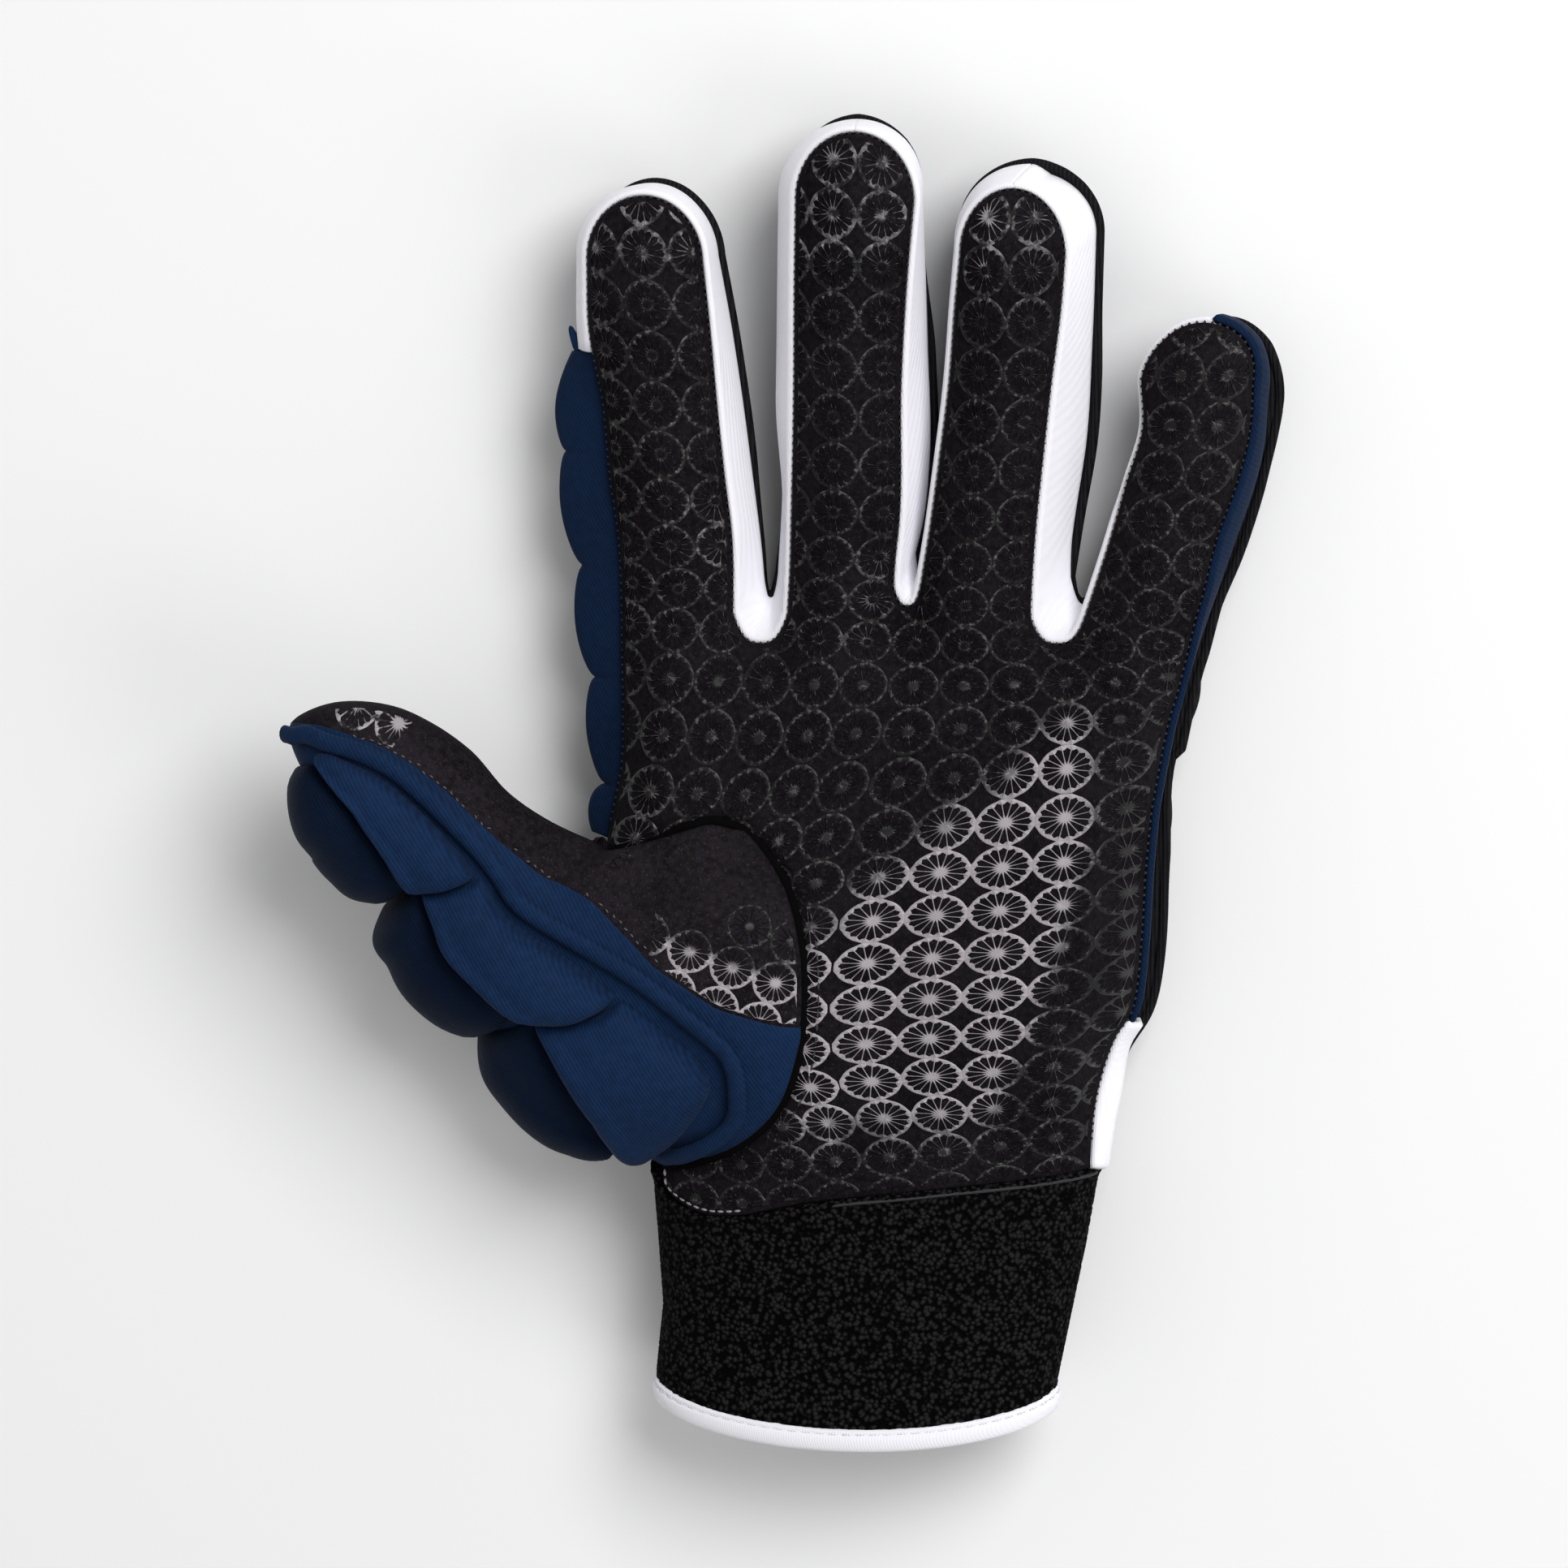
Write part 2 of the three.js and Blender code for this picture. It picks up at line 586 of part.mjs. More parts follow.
// Point and outward direction at a place along a panel's edge, counted in edge vertices
function edgeAt(side, place) {
  const { edge } = PLANS[side];
  const low = Math.min(Math.floor(place), edge.length - 2);
  const directionAt = (i) => {
    const after = edge[Math.min(i + 1, edge.length - 1)];
    const along = after.clone().sub(edge[Math.max(i - 1, 0)]).normalize();
    return new THREE.Vector2(-along.y, along.x);
  };
  return {
    point: edge[low].clone().lerp(edge[low + 1], place - low),
    out: directionAt(low).lerp(directionAt(low + 1), place - low).normalize(),
  };
}

// Side wall between the edges of the two panels, from one place on the edge to another.
// It tucks under the palm's edge and stands inside the back's edge by the inset. A padded
// wall has a straight inner face.
function sideWall({ from, to, steps, wall, inset, bulge, padded = false }) {
  const columns = [];
  const count = Math.round((to - from) * steps);
  for (let i = 0; i <= count; i += 1) {
    const place = lerp(from, to, i / count);
    const palm = edgeAt('palm', place);
    const back = edgeAt('back', place);
    const upper = palm.point;
    const lower = back.point.addScaledVector(back.out, -inset);
    const out = palm.out.clone().add(back.out).normalize();
    const upperZ = palmHeight(upper.x, upper.y) - PANEL_WALL - GAP;
    const lowerZ = backHeight(lower.x, lower.y) + PANEL_WALL / TRAY_SLOPE_COSINE + GAP;
    const swell = bulge(upper, out);
    const column = [];
    for (let r = 0; r <= WALL_ROWS; r += 1) {
      const t = r / WALL_ROWS;
      const stand = swell * Math.sin(Math.PI * t);
      const flat = upper.clone().lerp(lower, t);
      const outer = flat.clone().addScaledVector(out, stand);
      const inner = (padded ? flat : outer).clone().addScaledVector(out, -wall);
      const z = lerp(upperZ, lowerZ, t);
      const vertex = new THREE.Vector3(outer.x, outer.y, z);
      vertex.inner = new THREE.Vector3(inner.x, inner.y, z);
      column.push(vertex);
    }
    columns.push(column);
  }
  const rows = columns[0].map((_, r) => columns.map((column) => column[r]));
  return thicken(gridQuads(rows));
}

// Places on the panel edges, counted in edge vertices from the web between thumb and index
const FINGER_SIDE = STRAIGHT_ROWS + CAP_ROWS;
const FINGER_STEP = 2 * FINGER_SIDE + FINGER_COLUMNS + CROTCH_COLUMNS;
const tipPlace = (finger) => UPPER_ROWS + finger * FINGER_STEP + FINGER_SIDE + FINGER_COLUMNS / 2;
const LITTLE_BASE = UPPER_ROWS + 3 * FINGER_STEP + 2 * FINGER_SIDE + FINGER_COLUMNS;
const SIDE_PAD_END = UPPER_ROWS + SIDE_PAD.aboveHand;
const LITTLE_STRIP_END = LITTLE_BASE + UPPER_ROWS + LITTLE_STRIP.belowHand;
const GUSSET_END = LITTLE_BASE + UPPER_ROWS + LOWER_ROWS;

function addSideWalls() {
  const bulge = (p, out) => {
    const share = Math.max(0, -out.x) ** 2 * smoothstep(p.y, WHITE_BULGE.startY, WHITE_BULGE.fullY);
    return lerp(WHITE_BULGE.flat, WHITE_BULGE.proud, share);
  };
  const stops = [SIDE_PAD_END, tipPlace(1), tipPlace(2), tipPlace(3)];
  const names = ['fourchette_index_middle', 'fourchette_middle_ring', 'fourchette_ring_little'];
  names.forEach((name, i) => {
    const wall = {
      from: stops[i] + SEAM_ALLOWANCE, to: stops[i + 1] - SEAM_ALLOWANCE,
      steps: 1, wall: FOURCHETTE_WALL, inset: WALL_INSET, bulge,
    };
    addPiece(name, sideWall(wall), MATERIALS.white);
  });
  const ribs = SIDE_PAD.ribs;
  const padBulge = (p) => {
    const next = clamp(ribs.findIndex((y) => y >= p.y), 1, ribs.length - 1);
    const t = clamp((p.y - ribs[next - 1]) / (ribs[next] - ribs[next - 1]), 0, 1);
    const reach = lerp(SIDE_PAD.low, SIDE_PAD.high, smoothstep(p.y, ribs[0], ribs[4]));
    return reach * lerp(SIDE_PAD.groove, 1, Math.sqrt(Math.sin(Math.PI * t)));
  };
  const pad = {
    from: SIDE_PAD.start, to: SIDE_PAD_END - SEAM_ALLOWANCE,
    steps: SIDE_PAD.steps, wall: SIDE_PAD_WALL, inset: WALL_INSET, bulge: padBulge, padded: true,
  };
  addPiece('index_side_pad', sideWall(pad), MATERIALS.navy);
  const strip = {
    from: tipPlace(3) + SEAM_ALLOWANCE, to: LITTLE_STRIP_END - SEAM_ALLOWANCE,
    steps: 1, wall: STRIP_WALL, inset: LITTLE_STRIP.inset, bulge: () => LITTLE_STRIP.bulge,
  };
  addPiece('little_side_strip', sideWall(strip), MATERIALS.navy);
  const gusset = {
    from: LITTLE_STRIP_END + SEAM_ALLOWANCE, to: GUSSET_END,
    steps: 2, wall: STRIP_WALL, inset: WALL_INSET, bulge: () => WRIST_GUSSET_BULGE,
  };
  addPiece('wrist_gusset', sideWall(gusset), MATERIALS.white);
}

// Vertices of the seam round the thumb base, the same ones that the palm is cut to. The
// black palm side of the thumb meets the first of them and the navy shell the last ones.
const SEAM_UPPER_COLUMNS = FINGER_COLUMNS + CROTCH_COLUMNS;
const BLACK_COLUMNS = SEAM_UPPER_COLUMNS + LOWER_ROWS - NAVY_SEAM_ROWS;
const NAVY_COLUMNS = NAVY_SEAM_ROWS * NAVY_DIVISIONS;
const THUMB_COLUMNS = BLACK_COLUMNS + NAVY_COLUMNS + UNDER_COLUMNS;

// Angle round the thumb, from its web upwards, at the ends of those groups of columns
const THUMB_TURNS = [
  { column: 0, angle: 0 },
  { column: BLACK_COLUMNS, angle: THUMB_BORDER_ANGLE },
  { column: BLACK_COLUMNS + NAVY_COLUMNS, angle: THUMB_SEAM_ANGLE },
  { column: THUMB_COLUMNS, angle: 360 },
];

function thumbTurn(value, from, to) {
  const i = clamp(THUMB_TURNS.findIndex((turn) => turn[from] >= value), 1, THUMB_TURNS.length - 1);
  const before = THUMB_TURNS[i - 1];
  const after = THUMB_TURNS[i];
  return lerp(before[to], after[to], (value - before[from]) / (after[from] - before[from]));
}

const thumbAngle = (column) => thumbTurn(column, 'column', 'angle');
const thumbColumn = (angle) => thumbTurn(angle, 'angle', 'column');

// Open edge of the thumb where it meets the palm, the back and the cuff, column by column
function thumbRoot() {
  const seam = [];
  for (let i = 0; i <= SEAM_UPPER_COLUMNS; i += 1) {
    seam.push(alongPath(SEAM_UPPER, i / SEAM_UPPER_COLUMNS));
  }
  for (let i = 1; i <= LOWER_ROWS; i += 1) seam.push(alongPath(SEAM_LOWER, i / LOWER_ROWS));
  const edge = seam.map((p, i) => {
    const after = seam[Math.min(i + 1, seam.length - 1)];
    const along = after.clone().sub(seam[Math.max(i - 1, 0)]).normalize();
    const shifted = p.clone().add(new THREE.Vector2(along.y, -along.x).multiplyScalar(SEAM_GAP));
    return new THREE.Vector3(shifted.x, shifted.y, palmHeight(p.x, p.y));
  });
  const root = edge.slice(0, BLACK_COLUMNS + 1);
  for (let i = 1; i <= NAVY_COLUMNS; i += 1) {
    const place = BLACK_COLUMNS + i / NAVY_DIVISIONS;
    const low = Math.min(Math.floor(place), edge.length - 2);
    root.push(edge[low].clone().lerp(edge[low + 1], place - low));
  }
  const under = [...LEFT_EDGE_LOW_BACK].reverse();
  for (let i = 1; i < UNDER_COLUMNS; i += 1) {
    const p = alongPath(under, (i - UNDER_START) / (UNDER_COLUMNS - UNDER_START));
    root.push(new THREE.Vector3(p.x - UNDER_GAP, p.y, backHeight(p.x, p.y) + PANEL_WALL / 2));
  }
  return root;
}

const THUMB_ROOT = thumbRoot();

// Directions across the thumb in plan, toward its palm side, at each section
const THUMB_ACROSS = THUMB_SECTIONS.map((_, i) => {
  const before = THUMB_SECTIONS[Math.max(i - 1, 0)];
  const after = THUMB_SECTIONS[Math.min(i + 1, THUMB_SECTIONS.length - 1)];
  return new THREE.Vector3(-(after.y - before.y), after.x - before.x, 0).normalize();
});

const vectorOf = ({ x, y, z }) => new THREE.Vector3(x, y, z);

function thumbSectionPoint(section, angle) {
  const { halfWidth, halfHeight } = THUMB_SECTIONS[section];
  const turn = THREE.MathUtils.degToRad(angle);
  return vectorOf(THUMB_SECTIONS[section])
    .addScaledVector(THUMB_ACROSS[section], halfWidth * Math.cos(turn))
    .add(new THREE.Vector3(0, 0, halfHeight * Math.sin(turn)));
}

// Point of the thumb's outer surface: a share of its length from tip to root, and an angle
function thumbPoint(share, angle) {
  const last = THUMB_SECTIONS.length - 1;
  if (share <= THUMB_SECTIONS[0].share) {
    const t = share / THUMB_SECTIONS[0].share;
    return vectorOf(THUMB_TIP).lerp(thumbSectionPoint(0, angle), t);
  }
  if (share <= THUMB_SECTIONS[last].share) {
    let i = 1;
    while (THUMB_SECTIONS[i].share < share) i += 1;
    const before = THUMB_SECTIONS[i - 1].share;
    const t = (share - before) / (THUMB_SECTIONS[i].share - before);
    return thumbSectionPoint(i - 1, angle).lerp(thumbSectionPoint(i, angle), t);
  }
  const t = (share - THUMB_SECTIONS[last].share) / (1 - THUMB_SECTIONS[last].share);
  const column = thumbColumn(angle);
  const low = Math.floor(column);
  const rootPoint = THUMB_ROOT[low % THUMB_COLUMNS].clone()
    .lerp(THUMB_ROOT[(low + 1) % THUMB_COLUMNS], column - low);
  const turn = THREE.MathUtils.degToRad(angle);
  const swell = 4 * t * (1 - t);
  const dorsal = THUMB_ROOT_BULGE.dorsal * swell * Math.max(0, -Math.cos(turn));
  const up = THUMB_ROOT_BULGE.up * swell * Math.max(0, Math.sin(turn));
  return thumbSectionPoint(last, angle).lerp(rootPoint, t)
    .addScaledVector(THUMB_ACROSS[last], -dorsal)
    .add(new THREE.Vector3(0, 0, up));
}

// Half width of the thumb's rounded end, or of the rest of it
function thumbRadius(share) {
  return share < THUMB_SECTIONS[1].share ? THUMB_SECTIONS[0].halfWidth : THUMB_SECTIONS[2].halfWidth;
}

function thumbShares() {
  const last = THUMB_SECTIONS[THUMB_SECTIONS.length - 1].share;
  const shares = THUMB_SECTIONS.map((section) => section.share);
  for (let i = 1; i <= THUMB_ROOT_ROWS; i += 1) shares.push(lerp(last, 1, i / THUMB_ROOT_ROWS));
  return shares;
}

// Part of the thumb's wall between two columns, closed to a point at the tip. The wall of
// the rounded end is measured toward the thumb's heart.
function thumbWall(fromColumn, toColumn) {
  const shares = thumbShares();
  const centre = thumbAngle(((fromColumn + toColumn) / 2) % THUMB_COLUMNS);
  const turn = THREE.MathUtils.degToRad(centre);
  const pole = vectorOf(THUMB_TIP)
    .addScaledVector(THUMB_ACROSS[0], BORDER_GAP * Math.cos(turn))
    .add(new THREE.Vector3(0, 0, BORDER_GAP * Math.sin(turn)));
  const columns = [];
  for (let column = fromColumn; column <= toColumn; column += 1) columns.push(column);
  const heart = vectorOf(THUMB_SECTIONS[2]);
  const hollow = (p) => Object.assign(p, {
    inner: p.clone().addScaledVector(heart.clone().sub(p).normalize(), THUMB_WALL),
  });
  const rows = [columns.map(() => hollow(pole))];
  shares.forEach((share) => {
    const angles = columns.map((column) => (
      thumbAngle(column % THUMB_COLUMNS) + (column >= THUMB_COLUMNS ? 360 : 0)
    ));
    const first = angles[0];
    const span = angles[angles.length - 1] - first;
    const trim = THREE.MathUtils.radToDeg(BORDER_GAP / thumbRadius(share));
    const squeezed = angles.map((angle) => first + trim + (angle - first) * (span - 2 * trim) / span);
    const row = squeezed.map((angle) => thumbPoint(share, angle % 360));
    rows.push(share < THUMB_SECTIONS[1].share ? row.map(hollow) : row);
  });
  return thicken(gridQuads(rows), THUMB_WALL);
}

function thumbNormal(share, angle) {
  const { share: length, angle: turn } = SLOPE_STEP;
  const along = thumbPoint(share + length, angle).sub(thumbPoint(share - length, angle));
  const around = thumbPoint(share, angle + turn).sub(thumbPoint(share, angle - turn));
  return around.cross(along).normalize();
}

function addThumb() {
  const underBorder = THUMB_COLUMNS - UNDER_BLACK_COLUMNS;
  const palmSide = thumbWall(underBorder, THUMB_COLUMNS + BLACK_COLUMNS);
  addPiece('thumb_palm_panel', palmSide, MATERIALS.palm);
  addPiece('thumb_shell', thumbWall(BLACK_COLUMNS, underBorder), MATERIALS.navy);
  THUMB_PAD_COLUMNS.forEach(({ name, from, to, height, lift }) => {
    THUMB_PAD_SEGMENTS.forEach((segment, i) => {
      const rows = [];
      for (let r = 0; r <= PAD_STEPS; r += 1) {
        const row = [];
        for (let c = 0; c <= PAD_STEPS; c += 1) {
          const share = lerp(segment.from, segment.to, r / PAD_STEPS);
          const angle = lerp(from, to, c / PAD_STEPS);
          const base = thumbPoint(share, angle);
          const normal = thumbNormal(share, angle);
          const depth = lerp(PAD_EDGE, height, padProfile(c / PAD_STEPS, r / PAD_STEPS));
          const vertex = base.clone().addScaledVector(normal, lift + depth);
          vertex.inner = base.clone().addScaledVector(normal, lift);
          row.push(vertex);
        }
        rows.push(row);
      }
      addPiece(`thumb_pad_${name}_${i + 1}`, thicken(gridQuads(rows)), MATERIALS.navy);
    });
  });
}

// Fullness of a pillow across and along, from its edge at 0 to its flat crown at 1
function padProfile(across, along) {
  const fall = (t) => 1 - Math.abs(2 * t - 1) ** PILLOW.squareness;
  return Math.min(1, PILLOW.crown * Math.sqrt(fall(across) * fall(along)));
}

// Foam pad under the back: its plan from a function of two shares, and its flat lowest face
function backPad(name, planAt, floorAt, material) {
  const rows = [];
  for (let r = 0; r <= PAD_STEPS; r += 1) {
    const row = [];
    for (let c = 0; c <= PAD_STEPS; c += 1) {
      const p = planAt(c / PAD_STEPS, r / PAD_STEPS);
      const top = backHeight(p.x, p.y) - BACK_PAD_GAP;
      const flat = padProfile(c / PAD_STEPS, r / PAD_STEPS) > PILLOW.flatFrom;
      const bottom = flat ? floorAt(p) : top - BACK_PAD_EDGE;
      const vertex = new THREE.Vector3(p.x, p.y, bottom);
      vertex.inner = new THREE.Vector3(p.x, p.y, top);
      row.push(vertex);
    }
    rows.push(row.reverse());
  }
  addPiece(name, thicken(gridQuads(rows)), material);
}

function addBackPads() {
  FINGERS.forEach((finger) => {
    const { edges, cap, tip } = finger.back;
    for (let i = 0; i < 3; i += 1) {
      const from = finger.pads[i] + FINGER_PAD_CHANNEL;
      const to = finger.pads[i + 1] - FINGER_PAD_CHANNEL;
      const planAt = (across, along) => {
        const y = lerp(from, to, along);
        const round = Math.sqrt(1 - (Math.max(0, y - cap) / (tip.y - cap + 1)) ** 2);
        const left = lookUp(edges, 'left', y);
        const right = lookUp(edges, 'right', y);
        const half = ((right - left) / 2 - FINGER_PAD_MARGIN) * round;
        return new THREE.Vector2((left + right) / 2 + half * (2 * across - 1), y);
      };
      const floorAt = (p) => curl(p.y);
      backPad(`${finger.name}_back_pad_${i + 1}`, planAt, floorAt, MATERIALS.navy);
    }
  });
  HAND_PAD_ROWS.forEach(({ from, to }, row) => {
    for (let column = 0; column < HAND_PAD_COLUMNS; column += 1) {
      const planAt = (across, along) => {
        const y = lerp(from, to, 1 - along);
        const left = lookUp(HAND_PAD_SIDES, 'left', y);
        const right = lookUp(HAND_PAD_SIDES, 'right', y);
        const width = (right - left) / HAND_PAD_COLUMNS;
        const start = left + width * column + HAND_PAD_CHANNEL / 2;
        return new THREE.Vector2(start + (width - HAND_PAD_CHANNEL) * across, y);
      };
      backPad(`hand_back_pad_${row + 1}_${column + 1}`, planAt, () => 0, MATERIALS.blackFoam);
    }
  });
}

// Ring point of the cuff at a height down the glove, standing out from the wall by an offset
function cuffPoint(y, turn, offset = 0) {
  const half = lookUp(CUFF_SECTIONS, 'halfWidth', y) + offset;
  const high = lookUp(CUFF_SECTIONS, 'halfHeight', y) + offset;
  return new THREE.Vector3(
    lookUp(CUFF_SECTIONS, 'x', y) + half * Math.cos(turn),
    y,
    lookUp(CUFF_SECTIONS, 'z', y) + high * Math.sin(turn),
  );
}

function hemAt(turn) {
  const dip = Math.max(0, Math.sin(turn)) ** HEM.dipPower;
  return HEM.y + HEM.slant * Math.cos(turn) - HEM.palmDrop * dip;
}

// Top edge of the cuff: it follows the palm's lower edge in front and is straight behind
function cuffTop(turn) {
  const x = cuffPoint(CUFF_SECTIONS[0].y, turn).x;
  if (Math.sin(turn) < CUFF_BEHIND) return CUFF_BACK_TOP;
  const after = CUFF_TOP.findIndex((row) => row.x > x);
  const i = clamp(after, 1, CUFF_TOP.length - 1);
  const t = clamp((x - CUFF_TOP[i - 1].x) / (CUFF_TOP[i].x - CUFF_TOP[i - 1].x), 0, 1);
  return lerp(CUFF_TOP[i - 1].y, CUFF_TOP[i].y, t);
}

function addCuff() {
  const ring = (yAt, offset) => {
    const points = [];
    for (let i = 0; i < CUFF_SIDES; i += 1) {
      const turn = 2 * Math.PI * i / CUFF_SIDES;
      points.push(cuffPoint(yAt(turn), turn, offset));
    }
    return points;
  };
  const cuffRows = [];
  for (let r = 0; r <= CUFF_ROWS; r += 1) {
    const down = r / CUFF_ROWS;
    cuffRows.push(ring((turn) => lerp(cuffTop(turn), hemAt(turn) + BINDING_WIDTH + GAP, down), 0));
  }
  addPiece('cuff', thicken(gridQuads(cuffRows, true), CUFF_WALL), MATERIALS.cuff);
  const bindingRows = [BINDING_WIDTH, BINDING_WIDTH / 2, 0].map((up, r) => (
    ring((turn) => hemAt(turn) + up, r === 1 ? BINDING_PROUD : BINDING_PROUD / 2)
  ));
  addPiece('cuff_binding', thicken(gridQuads(bindingRows, true), BINDING_WALL), MATERIALS.white);
}

addPanels();
addSideWalls();
addThumb();
addBackPads();
addCuff();
glove.position.set(CENTRE_SHIFT.x, CENTRE_SHIFT.y, CENTRE_SHIFT.z);

export default glove;
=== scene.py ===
"""Left-hand field hockey glove, palm up: finishes and soft pieces over its fixed frame."""

import math

import bpy
import numpy as np
from mathutils import Matrix, Vector
from mathutils.bvhtree import BVHTree


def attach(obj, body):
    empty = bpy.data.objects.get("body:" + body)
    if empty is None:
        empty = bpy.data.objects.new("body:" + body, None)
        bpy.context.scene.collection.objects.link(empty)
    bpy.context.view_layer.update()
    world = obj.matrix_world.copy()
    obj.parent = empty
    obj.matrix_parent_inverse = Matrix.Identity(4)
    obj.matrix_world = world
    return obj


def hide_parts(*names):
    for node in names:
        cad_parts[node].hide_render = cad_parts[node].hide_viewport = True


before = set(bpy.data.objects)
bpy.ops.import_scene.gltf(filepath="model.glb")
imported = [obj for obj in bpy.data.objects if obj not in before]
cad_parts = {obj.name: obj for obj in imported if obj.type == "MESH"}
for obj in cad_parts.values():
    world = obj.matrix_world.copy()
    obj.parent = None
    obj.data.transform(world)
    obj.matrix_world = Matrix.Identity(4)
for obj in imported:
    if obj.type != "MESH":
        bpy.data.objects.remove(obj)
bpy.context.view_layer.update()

bl_info = {
    "name": "Field Hockey Glove",
    "version": (1, 0, 0),
    "blender": (4, 5, 0),
    "location": "3D View > Sidebar > Glove",
    "description": "Builds the cloth, foam, grip print and stitching of a field hockey glove",
    "category": "Object",
}

# Lengths below are in millimetres unless a name says otherwise
MM = 0.001
UP = np.array([0.0, 0.0, 1.0])
CENTRE_SHIFT = np.array([-0.5, -0.27, 0.0])
VIEW_PIXELS = 1932
PIXEL_SIZE = 0.14
VIEW_MIDDLE = np.array([0, 0.35, 20.0])
SENSOR_WIDTH = 36

# Floor reach, clip distance, and the place and size of each soft light in metres, with its power in watts
FLOOR_REACH = 3
CLIP_END = 20
WORLD_LIGHT = 0.4
LIGHTS = (
    ("soft_top", (0.6, 0.7, 1.2), 0.8, 17),
    ("soft_left", (-1.2, 0.3, 0.9), 0.8, 0.8),
    ("soft_right", (1.1, -0.5, 1.0), 0.8, 4),
)

# Cloth thicknesses, seams, piping and stitches
CLOTH = {"thin": 1.2, "plain": 1.4, "thick": 1.5, "band": 2.0}
WELDS_PER_MM = 1000
RIM_ROUNDNESS = 0.4
WALL_BELOW_PALM = 1.35
WALL_ABOVE_BACK = 1.85
SEAM_GROOVE = {"depth": 1.9, "width": 1.5}
# Near-black strip in the bottom of the thumb seam's groove, as painted shadow: depth, half width, half
# height
SEAM_GROOVE_SHADOW = {"depth": 1.75, "half_width": 1.15, "half_height": 0.5}
BACK_PIPING = {"radius": 0.9, "lift": 0.75}
CUFF_PIPING = {"radius": 0.32, "stand": 0.3, "below_top": 0.4}
# Length, width and height of one stitch
STITCH = {
    "edge": (1.15, 0.62, 0.32), "seam": (1.5, 0.42, 0.22), "hem": (1.2, 0.5, 0.26),
    "border": (0.8, 0.34, 0.2), "binding": (1.7, 0.45, 0.25),
}

# Heights of the palm side and of the back
PALM = {"edge": 20, "finger_crown": 6, "hand_crown": 9, "puff_width": 10}
BACK = {"finger": 6.6, "hand": 8.3, "rise": 3.5, "rise_width": 11}
CURL = {"start": 35, "length": 80, "lift": 5}
THENAR = {"x": -8, "y": -36, "spread_x": 22, "spread_y": 22, "height": 9}
HYPOTHENAR = {"x": 42, "y": -36, "spread_x": 15, "spread_y": 26, "height": 5}
PALM_HAND_BLEND = (10, 34)
BACK_HAND_BLEND = (20, 56)
WRIST_BLEND = (-64, -46)

# Cuff sections from the wrist seam to the hem: y, x and z of the middle, half width, half height;
# then x and y along the front of its top edge
CUFF_SECTIONS = [
    (-67, 15.8, 18.5, 38.8, 15.5), (-80, 15.2, 18.2, 37.2, 15.2), (-92, 14.4, 18.0, 35.6, 14.8),
    (-104, 12.6, 17.8, 35.0, 14.6), (-110, 12.4, 17.6, 34.8, 14.4),
]
CUFF_TOP = [
    (-23, -68), (-21.4, -70.8), (-19.5, -72.8), (-15, -74.6), (-6, -74.2), (2, -72), (12, -70.1),
    (31, -68.1), (55, -66.4),
]
CUFF_BACK_TOP = -66.7
HEM = {"y": -109.1, "slant": -0.2, "dip": 5.7, "dip_power": 1.3, "middle": (12.5, 17.7)}
PEBBLE_SEED = 7
PEBBLES = {"around": 150, "along": 42, "spread": (0.15, 0.85), "roundness": 1.8, "sink": 0.15}
CUFF_INNER = -2.4
BINDING_WIDTH = 4
BINDING_INNER = -2.7
BINDING_SEAM = 0.22

# Fingers: y of the ends of the back pads; for each side, the y where the rounded tip starts, the
# point of the tip, and rows of y with the x of the left and of the right edge
FINGERS = [
    {
        "name": "index", "pads": (28, 51, 74, 98),
        "palm": {"cap": 91.2, "tip": (-23.9, 102.3), "edges": [
            (20, -28, -9), (30, -28, -9), (43, -28.5, -9.2), (54, -30, -10.5),
            (66, -31, -11.7), (79, -33.3, -12.8), (91.2, -33.5, -14),
        ]},
        "back": {"cap": 91.2, "tip": (-23, 103.6), "edges": [
            (20, -31, -3.5), (37, -32, -4.2), (51, -34, -6), (68, -34.5, -8.2),
            (80, -33.5, -10), (91.2, -33, -12),
        ]},
    },
    {
        "name": "middle", "pads": (30, 56, 82, 109),
        "palm": {"cap": 102, "tip": (12.3, 113.7), "edges": [
            (20, 0, 19), (31, 0.8, 18.6), (38, 1.2, 18.8), (46, 1.4, 19.6), (71, 1.9, 20),
            (88, 2.1, 21), (102, 2.4, 22.3),
        ]},
        "back": {"cap": 103, "tip": (12.4, 115.1), "edges": [
            (20, -1.8, 20), (37, -1.5, 21.3), (46, -1, 23.4), (57, -0.6, 24.4), (77, 0, 24),
            (103, 0.6, 23.2),
        ]},
    },
    {
        "name": "ring", "pads": (29, 53, 77, 102),
        "palm": {"cap": 93, "tip": (39.3, 104.2), "edges": [
            (20, 23, 42.3), (33, 23.5, 42.4), (46, 25.4, 43.2), (58, 27, 44.4),
            (71, 28.6, 45.8), (84, 29.6, 47.4), (93, 30.5, 48.1),
        ]},
        "back": {"cap": 96, "tip": (42, 107.7), "edges": [
            (20, 22, 48), (37, 23.1, 49.7), (47, 25.2, 51), (60, 26.9, 52.9),
            (77, 28.2, 53.8), (96, 29.6, 54.4),
        ]},
    },
    {
        "name": "little", "pads": (27, 44, 61, 77),
        "palm": {"cap": 71.5, "tip": (72, 81.6), "edges": [
            (20, 50, 68.4), (29, 51.6, 70.4), (34, 53.2, 71.8), (44, 56.3, 74.2),
            (54, 59, 77.7), (63, 61.6, 79.8), (71.5, 61.3, 80.3),
        ]},
        "back": {"cap": 66, "tip": (75.4, 81.3), "edges": [
            (20, 50, 70.8), (31, 51.6, 74.6), (44, 56.6, 79.4), (57, 61, 82.8),
            (66, 63.4, 83.6),
        ]},
    },
]
OUTER_BASE_Y = 30

